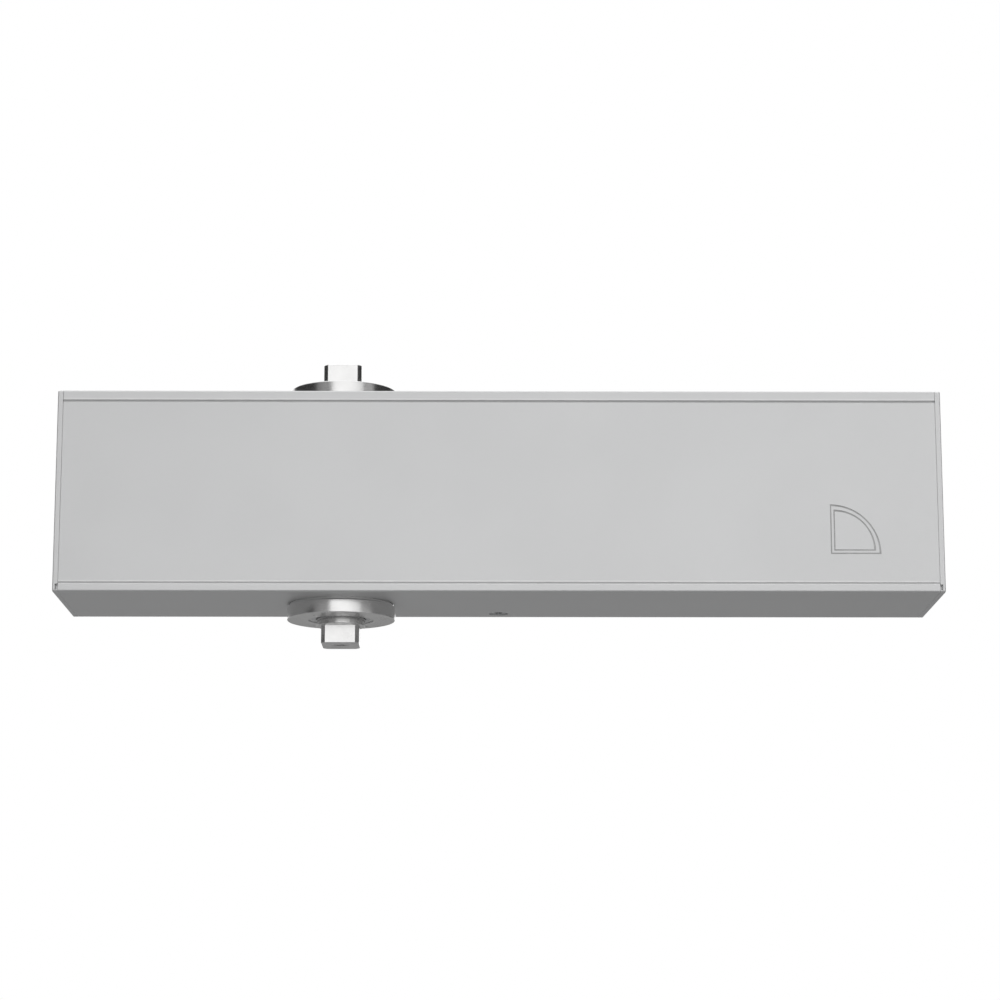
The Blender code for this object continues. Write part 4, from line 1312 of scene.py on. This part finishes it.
@dataclass
class MainSpring:
    """The closing spring: open turns between a closed turn at each end."""

    wire_radius: float = 0.0024
    coil_radius: float = 0.0136
    start: float = 0.0314
    end: float = 0.149284
    open_turns: int = 12
    closed_pitch: float = 0.0052
    turn_points: int = 48
    wire_sides: int = 18
    fixed_end: float = 0.151984
    pressed_share: float = 0.745
    end_taper: float = 0.82

    def _centre(self, turn: float) -> Vector:
        """The wire's centre line after a number of turns."""
        pitch = (self.end - self.start - 2 * self.closed_pitch) / self.open_turns
        closed = min(turn, 1.0) + max(turn - 1.0 - self.open_turns, 0.0)
        along = self.start + self.closed_pitch * closed + pitch * (turn - closed)
        angle = turn * math.tau
        across = self.coil_radius * math.cos(angle)
        return Vector((along, SPINDLE_Y + across, self.coil_radius * math.sin(angle)))

    def build(self, finishes: Finishes) -> None:
        """Builds and dresses the spring.

        Args:
            finishes: the materials.
        """
        count = (self.open_turns + 2) * self.turn_points
        rings = []
        for number in range(count + 1):
            turn = number / self.turn_points
            centre = self._centre(turn)
            out = (centre - SPINDLE_AXIS - Vector((centre.x, 0.0, 0.0))).normalized()
            before, after = (self._centre(turn + shift) for shift in (-0.005, 0.005))
            ahead = (after - before).normalized()
            across = ahead.cross(out).normalized()
            ends = min(number, count - number)
            reach = self.wire_radius * (self.end_taper if ends == 0 else 1.0)
            sides = [k * math.tau / self.wire_sides for k in range(self.wire_sides)]
            rings.append(
                [centre + (out * math.cos(a) + across * math.sin(a)) * reach for a in sides]
            )
        spring = loft("closing_spring", rings)
        shade(spring)
        finishes.dress(spring, Slot.SPRING)
        put_on(spring, "housing", "main_spring")
        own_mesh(spring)


# --- Casting --------------------------------------------------------------------------------------


@dataclass
class Casting:
    """The cast body: barrel, spindle boss, screw boss, and a flat back with four lugs."""

    barrel_radius: float = 0.0205
    bore_radius: float = 0.017
    plug_seat_radius: float = 0.01805
    plug_seat_depth: float = 0.0123
    plate_thickness: float = 0.008
    plate_half_height: float = 0.01847
    plate_inset: float = 0.0005
    lug_width: float = 0.016
    lug_reach: float = 0.0272
    lug_hole_height: float = 0.0228
    lug_hole_radius: float = 0.00275
    seat_radius: float = 0.0041
    seat_stand: float = 0.001
    boss_radius: float = 0.0195
    bearing_radius: float = 0.012
    thread_radius: float = 0.014
    thread_depth: float = 0.0043
    valve_y: float = -0.0052
    valve_height: float = 0.013971
    gallery_radius: float = 0.0029
    gallery_depth: float = 0.015
    screw_boss_radius: float = 0.004
    screw_boss_root: float = 0.0165
    screw_hole_radius: float = 0.0022
    screw_place: Point = (0.045984, -0.006)
    screw_hole_depth: float = 0.0072
    corner_round: float = 0.0016
    ease: float = 0.0007
    mouth: float = 0.0005
    orifice_share: float = 0.55
    orifice_depth: float = 0.009
    overrun: float = 0.002

    def _rod(
        self, sections: Sequence[Point], centre: Point, lay: Callable[..., Vector], sides: int
    ) -> Piece:
        """A round solid along one axis.

        Args:
            sections: (radius, place along the axis) pairs in order.
            centre: the axis's place across its direction.
            lay: how (a, b, along) becomes a point.
            sides: the sides of each ring.

        Returns:
            The solid.
        """
        rings = []
        for radius, along in sections:
            flat = circle(radius, 0.0, sides)
            rings.append([lay(centre[0] + p.x, centre[1] + p.y, along) for p in flat])
        return loft("rod", rings)

    def _plate(self, left: float, right: float) -> Piece:
        """The flat back with its lugs."""
        start, end = left + self.plate_inset, right - self.plate_inset
        upper = [
            (start, self.lug_reach),
            (start + self.lug_width, self.lug_reach),
            (start + self.lug_width, self.plate_half_height),
            (end - self.lug_width, self.plate_half_height),
            (end - self.lug_width, self.lug_reach),
            (end, self.lug_reach),
        ]
        corners = upper + [(x, -z) for x, z in reversed(upper)]
        outline = eased(corners, self.corner_round, 6)
        return prism("cast_body", outline, -self.plate_thickness, 0.0, along_y)

    def _additions(self, left: float, right: float, top: float) -> list[Piece]:
        """The solids that the plate carries."""
        ease = self.ease
        barrel, boss = (
            [(r - ease, low), (r, low + ease), (r, high - ease), (r - ease, high)]
            for r, low, high in ((self.barrel_radius, left, right), (self.boss_radius, -top, top))
        )
        screw_boss = [
            (self.screw_boss_radius - ease / 2, -top),
            (self.screw_boss_radius, -top + ease / 2),
            (self.screw_boss_radius, -self.screw_boss_root),
        ]
        made = [
            self._rod(barrel, (SPINDLE_Y, 0.0), along_x, 144),
            self._rod(boss, (0.0, SPINDLE_Y), along_z, 144),
            self._rod(screw_boss, self.screw_place, along_z, 48),
        ]
        seat_face = -self.plate_thickness - self.seat_stand
        for spot in self._lug_spots(left, right):
            seat = [
                (self.seat_radius + 0.0005, -self.plate_thickness / 2),
                (self.seat_radius + 0.0001, seat_face + 0.0002),
                (self.seat_radius - 0.0001, seat_face),
            ]
            made.append(self._rod(seat, spot, along_y, 48))
        return made

    def _lug_spots(self, left: float, right: float) -> list[Point]:
        """The (x, z) places of the fixing holes."""
        reach = self.plate_inset + self.lug_width / 2
        height = self.lug_hole_height
        return [(x, z) for x in (left + reach, right - reach) for z in (height, -height)]

    def _openings(self, left: float, right: float, top: float) -> list[Piece]:
        """The cutters for every bore and hole."""
        seat, depth, over = self.plug_seat_radius, self.plug_seat_depth, self.overrun
        cylinder = [
            (seat, left - over),
            (seat, left + depth),
            (self.bore_radius, left + depth),
            (self.bore_radius, right - depth),
            (seat, right - depth),
            (seat, right + over),
        ]
        foot = top - self.thread_depth
        spindle = [
            (self.thread_radius, -top - over),
            (self.thread_radius, -foot),
            (self.bearing_radius, -foot),
            (self.bearing_radius, foot),
            (self.thread_radius, foot),
            (self.thread_radius, top + over),
        ]
        screw_end = -top + self.screw_hole_depth
        screw = [(self.screw_hole_radius, -top - over), (self.screw_hole_radius, screw_end)]
        made = [
            self._rod(cylinder, (SPINDLE_Y, 0.0), along_x, 144),
            self._rod(spindle, (0.0, SPINDLE_Y), along_z, 144),
            self._rod(screw, self.screw_place, along_z, 40),
        ]
        hole, mouth = self.lug_hole_radius, self.lug_hole_radius + self.mouth
        through = [
            (hole, -self.plate_thickness - 2 * over),
            (hole, -0.0004),
            (mouth, 0.0001),
            (mouth, over),
        ]
        made += [self._rod(through, spot, along_y, 64) for spot in self._lug_spots(left, right)]
        seat_end, orifice = left + self.gallery_depth, self.gallery_radius * self.orifice_share
        gallery = [
            (self.gallery_radius, left - over),
            (self.gallery_radius, seat_end),
            (orifice, seat_end),
            (orifice, seat_end + self.orifice_depth),
        ]
        for height in (self.valve_height, -self.valve_height):
            made.append(self._rod(gallery, (self.valve_y, height), along_x, 48))
        return made

    def build(self, finishes: Finishes) -> None:
        """Builds and dresses the casting.

        Args:
            finishes: the materials.
        """
        low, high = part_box("closer_body")
        body = self._plate(low.x, high.x)
        carve(body, self._additions(low.x, high.x, high.z), "UNION")
        carve(body, self._openings(low.x, high.x, high.z))
        ease_edges(body, width=0.0003, sharper_than=50.0)
        shade(body, angle=32.0, edge_width=0.00022)
        finishes.dress(body, Slot.CAST)
        put_on(body, "housing", "closer_body")


# --- Pieces that keep the frame's own shape -------------------------------------------------------


@dataclass
class Mechanism:
    """The inner pieces, whose own shapes are kept."""

    nodes: dict[Slot, tuple[str, ...]] = field(
        default_factory=lambda: {
            Slot.GROUND: (
                "top_bearing_race",
                "bottom_bearing_race",
                "top_roller_cage",
                "bottom_roller_cage",
                "piston",
                "check_ball",
            ),
            Slot.ZINC: ("ball_retainer", "spring_seat", "left_end_plug", "right_end_plug"),
            Slot.BRASS: ("closing_speed_valve", "latching_speed_valve"),
            Slot.RUBBER: (
                "piston_ring",
                "top_nut_o_ring",
                "bottom_nut_o_ring",
                "top_shaft_seal",
                "bottom_shaft_seal",
                "left_plug_o_ring",
                "right_plug_o_ring",
                "closing_valve_o_ring",
                "latching_valve_o_ring",
            ),
        }
    )

    def dress(self, finishes: Finishes) -> None:
        """Puts each piece's finish on it."""
        for slot, names in self.nodes.items():
            finishes.dress_nodes(names, slot)


# --- Studio ---------------------------------------------------------------------------------------


@dataclass(frozen=True)
class SoftBox:
    """A soft lamp: a glowing panel that faces a point."""

    name: str
    place: Triple
    width: float
    height: float
    power: float
    aim: Triple = (0.046, -0.03, 0.0)

    def build(self) -> None:
        """Adds the lamp to the scene."""
        data = bpy.data.lights.new(self.name, "AREA")
        data.shape = "RECTANGLE"
        data.size = self.width
        data.size_y = self.height
        data.energy = self.power
        lamp = bpy.data.objects.new(self.name, data)
        lamp.location = self.place
        towards = Vector(self.aim) - Vector(self.place)
        lamp.rotation_euler = towards.to_track_quat("-Z", "Y").to_euler()
        lamp.visible_camera = False
        bpy.context.scene.collection.objects.link(lamp)


@dataclass
class Studio:
    """The floor, the soft light and the camera."""

    floor_height: float = -0.32
    surround: float = 0.52
    side_shade: float = 0.045
    ceiling: float = 0.6
    wall_turn: Point = (0.15, 0.85)
    ceiling_turn: Point = (0.4, 0.8)
    floor_colours: tuple[float, float] = (0.34, 0.32)
    floor_roughness: float = 0.85
    floor_glow: float = 0.88
    floor_glow_share: float = 0.85
    camera_place: Triple = (0.041, -0.8635, -0.171)
    camera_pitch: float = 11.61
    camera_yaw: float = -0.361
    focal_length: float = 105.3
    lamps: tuple[SoftBox, ...] = (
        SoftBox("front_panel", (0.34, -1.5, 0.24), width=2.0, height=1.0, power=5.4),
        SoftBox("left_wing", (-1.2, -1.2, 0.24), width=0.7, height=1.0, power=0.4),
        SoftBox("right_wing", (1.65, -0.95, 0.24), width=0.7, height=1.0, power=0.9),
        SoftBox("top_panel", (0.05, -0.3, 1.3), width=1.2, height=0.9, power=2.4),
        SoftBox("rear_panel", (-0.4, 1.5, 0.6), width=2.2, height=1.2, power=9.0),
    )

    def _floor(self) -> None:
        """Adds the floor, a wide round slab that is mid-grey in light and pale to the camera."""
        rings = [circle(9.0, height, 96) for height in (0.0, -0.05)]
        floor = loft("studio_floor", rings, at=Vector((0.0, 0.0, self.floor_height)))
        material = bpy.data.materials.new("pale_floor")
        material.use_nodes = True
        graph = NodeGraph(material.node_tree)
        surface = material.node_tree.nodes["Principled BSDF"]
        place = graph.add("ShaderNodeTexCoord")
        noise = graph.add("ShaderNodeTexNoise")
        noise.inputs["Scale"].default_value = 6.0
        graph.join(place.outputs["Object"], noise.inputs["Vector"])
        light, dark = self.floor_colours
        colour = graph.blend(noise.outputs["Fac"], grey(light), grey(dark))
        graph.join(colour, surface.inputs["Base Color"])
        surface.inputs["Roughness"].default_value = self.floor_roughness
        glow = graph.add("ShaderNodeEmission")
        glow.inputs["Color"].default_value = grey(self.floor_glow)
        seen = graph.add("ShaderNodeLightPath").outputs["Is Camera Ray"]
        share = graph.combine("MULTIPLY", seen, self.floor_glow_share)
        mixed = graph.mix(share, surface.outputs["BSDF"], glow.outputs["Emission"])
        graph.join(mixed, material.node_tree.nodes["Material Output"].inputs["Surface"])
        floor.data.materials.append(material)

    def _surroundings(self) -> None:
        """Sets a white backdrop that lights the object as a room with dark side walls."""
        world = bpy.data.worlds.new("studio")
        bpy.context.scene.world = world
        world.use_nodes = True
        world.node_tree.nodes.clear()
        graph = NodeGraph(world.node_tree)
        room = graph.add("ShaderNodeBackground")
        way = graph.add("ShaderNodeTexCoord")
        split = graph.add("ShaderNodeSeparateXYZ")
        graph.join(way.outputs["Generated"], split.inputs["Vector"])
        aside, smooth = graph.combine("ABSOLUTE", split.outputs["X"], 0.0), "SMOOTHSTEP"
        shades = (self.surround, self.side_shade)
        wall = graph.ramp(aside, self.wall_turn, shades, interpolation_type=smooth)
        up, glows = split.outputs["Z"], (0.0, self.ceiling)
        overhead = graph.ramp(up, self.ceiling_turn, glows, interpolation_type=smooth)
        graph.join(graph.combine("ADD", wall, overhead), room.inputs["Strength"])
        backdrop = graph.add("ShaderNodeBackground")
        backdrop.inputs["Color"].default_value = grey(1.0)
        seen = graph.add("ShaderNodeLightPath").outputs["Is Camera Ray"]
        mixed = graph.mix(seen, room.outputs["Background"], backdrop.outputs["Background"])
        output = graph.add("ShaderNodeOutputWorld")
        graph.join(mixed, output.inputs["Surface"])

    def _camera(self) -> None:
        """Adds the camera."""
        data = bpy.data.cameras.new("camera")
        data.lens = self.focal_length
        data.sensor_width = 36.0
        data.clip_start = 0.01
        camera = bpy.data.objects.new("camera", data)
        camera.location = self.camera_place
        camera.rotation_euler = Euler(
            (math.radians(90.0 + self.camera_pitch), 0.0, math.radians(self.camera_yaw))
        )
        bpy.context.scene.collection.objects.link(camera)
        bpy.context.scene.camera = camera

    def build(self) -> None:
        """Builds the floor, the light and the camera."""
        bpy.context.scene.view_settings.view_transform = "Standard"
        self._floor()
        self._surroundings()
        for lamp in self.lamps:
            lamp.build()
        self._camera()
        log.info("built the studio with %d lamps", len(self.lamps))


def main() -> None:
    """Builds the closer's pieces in order, then the studio."""
    logging.basicConfig(level=logging.INFO, format="%(name)s: %(message)s")
    finishes = Finishes()
    Cover().build(finishes)
    for side in Side:
        EndCap(side).build(finishes)
    CoverScrew().build(finishes)
    for end in End:
        CapNut(end).build(finishes)
    Spindle().build(finishes)
    MainSpring().build(finishes)
    Casting().build(finishes)
    Mechanism().dress(finishes)
    Studio().build()


if __name__ == "__main__":
    main()
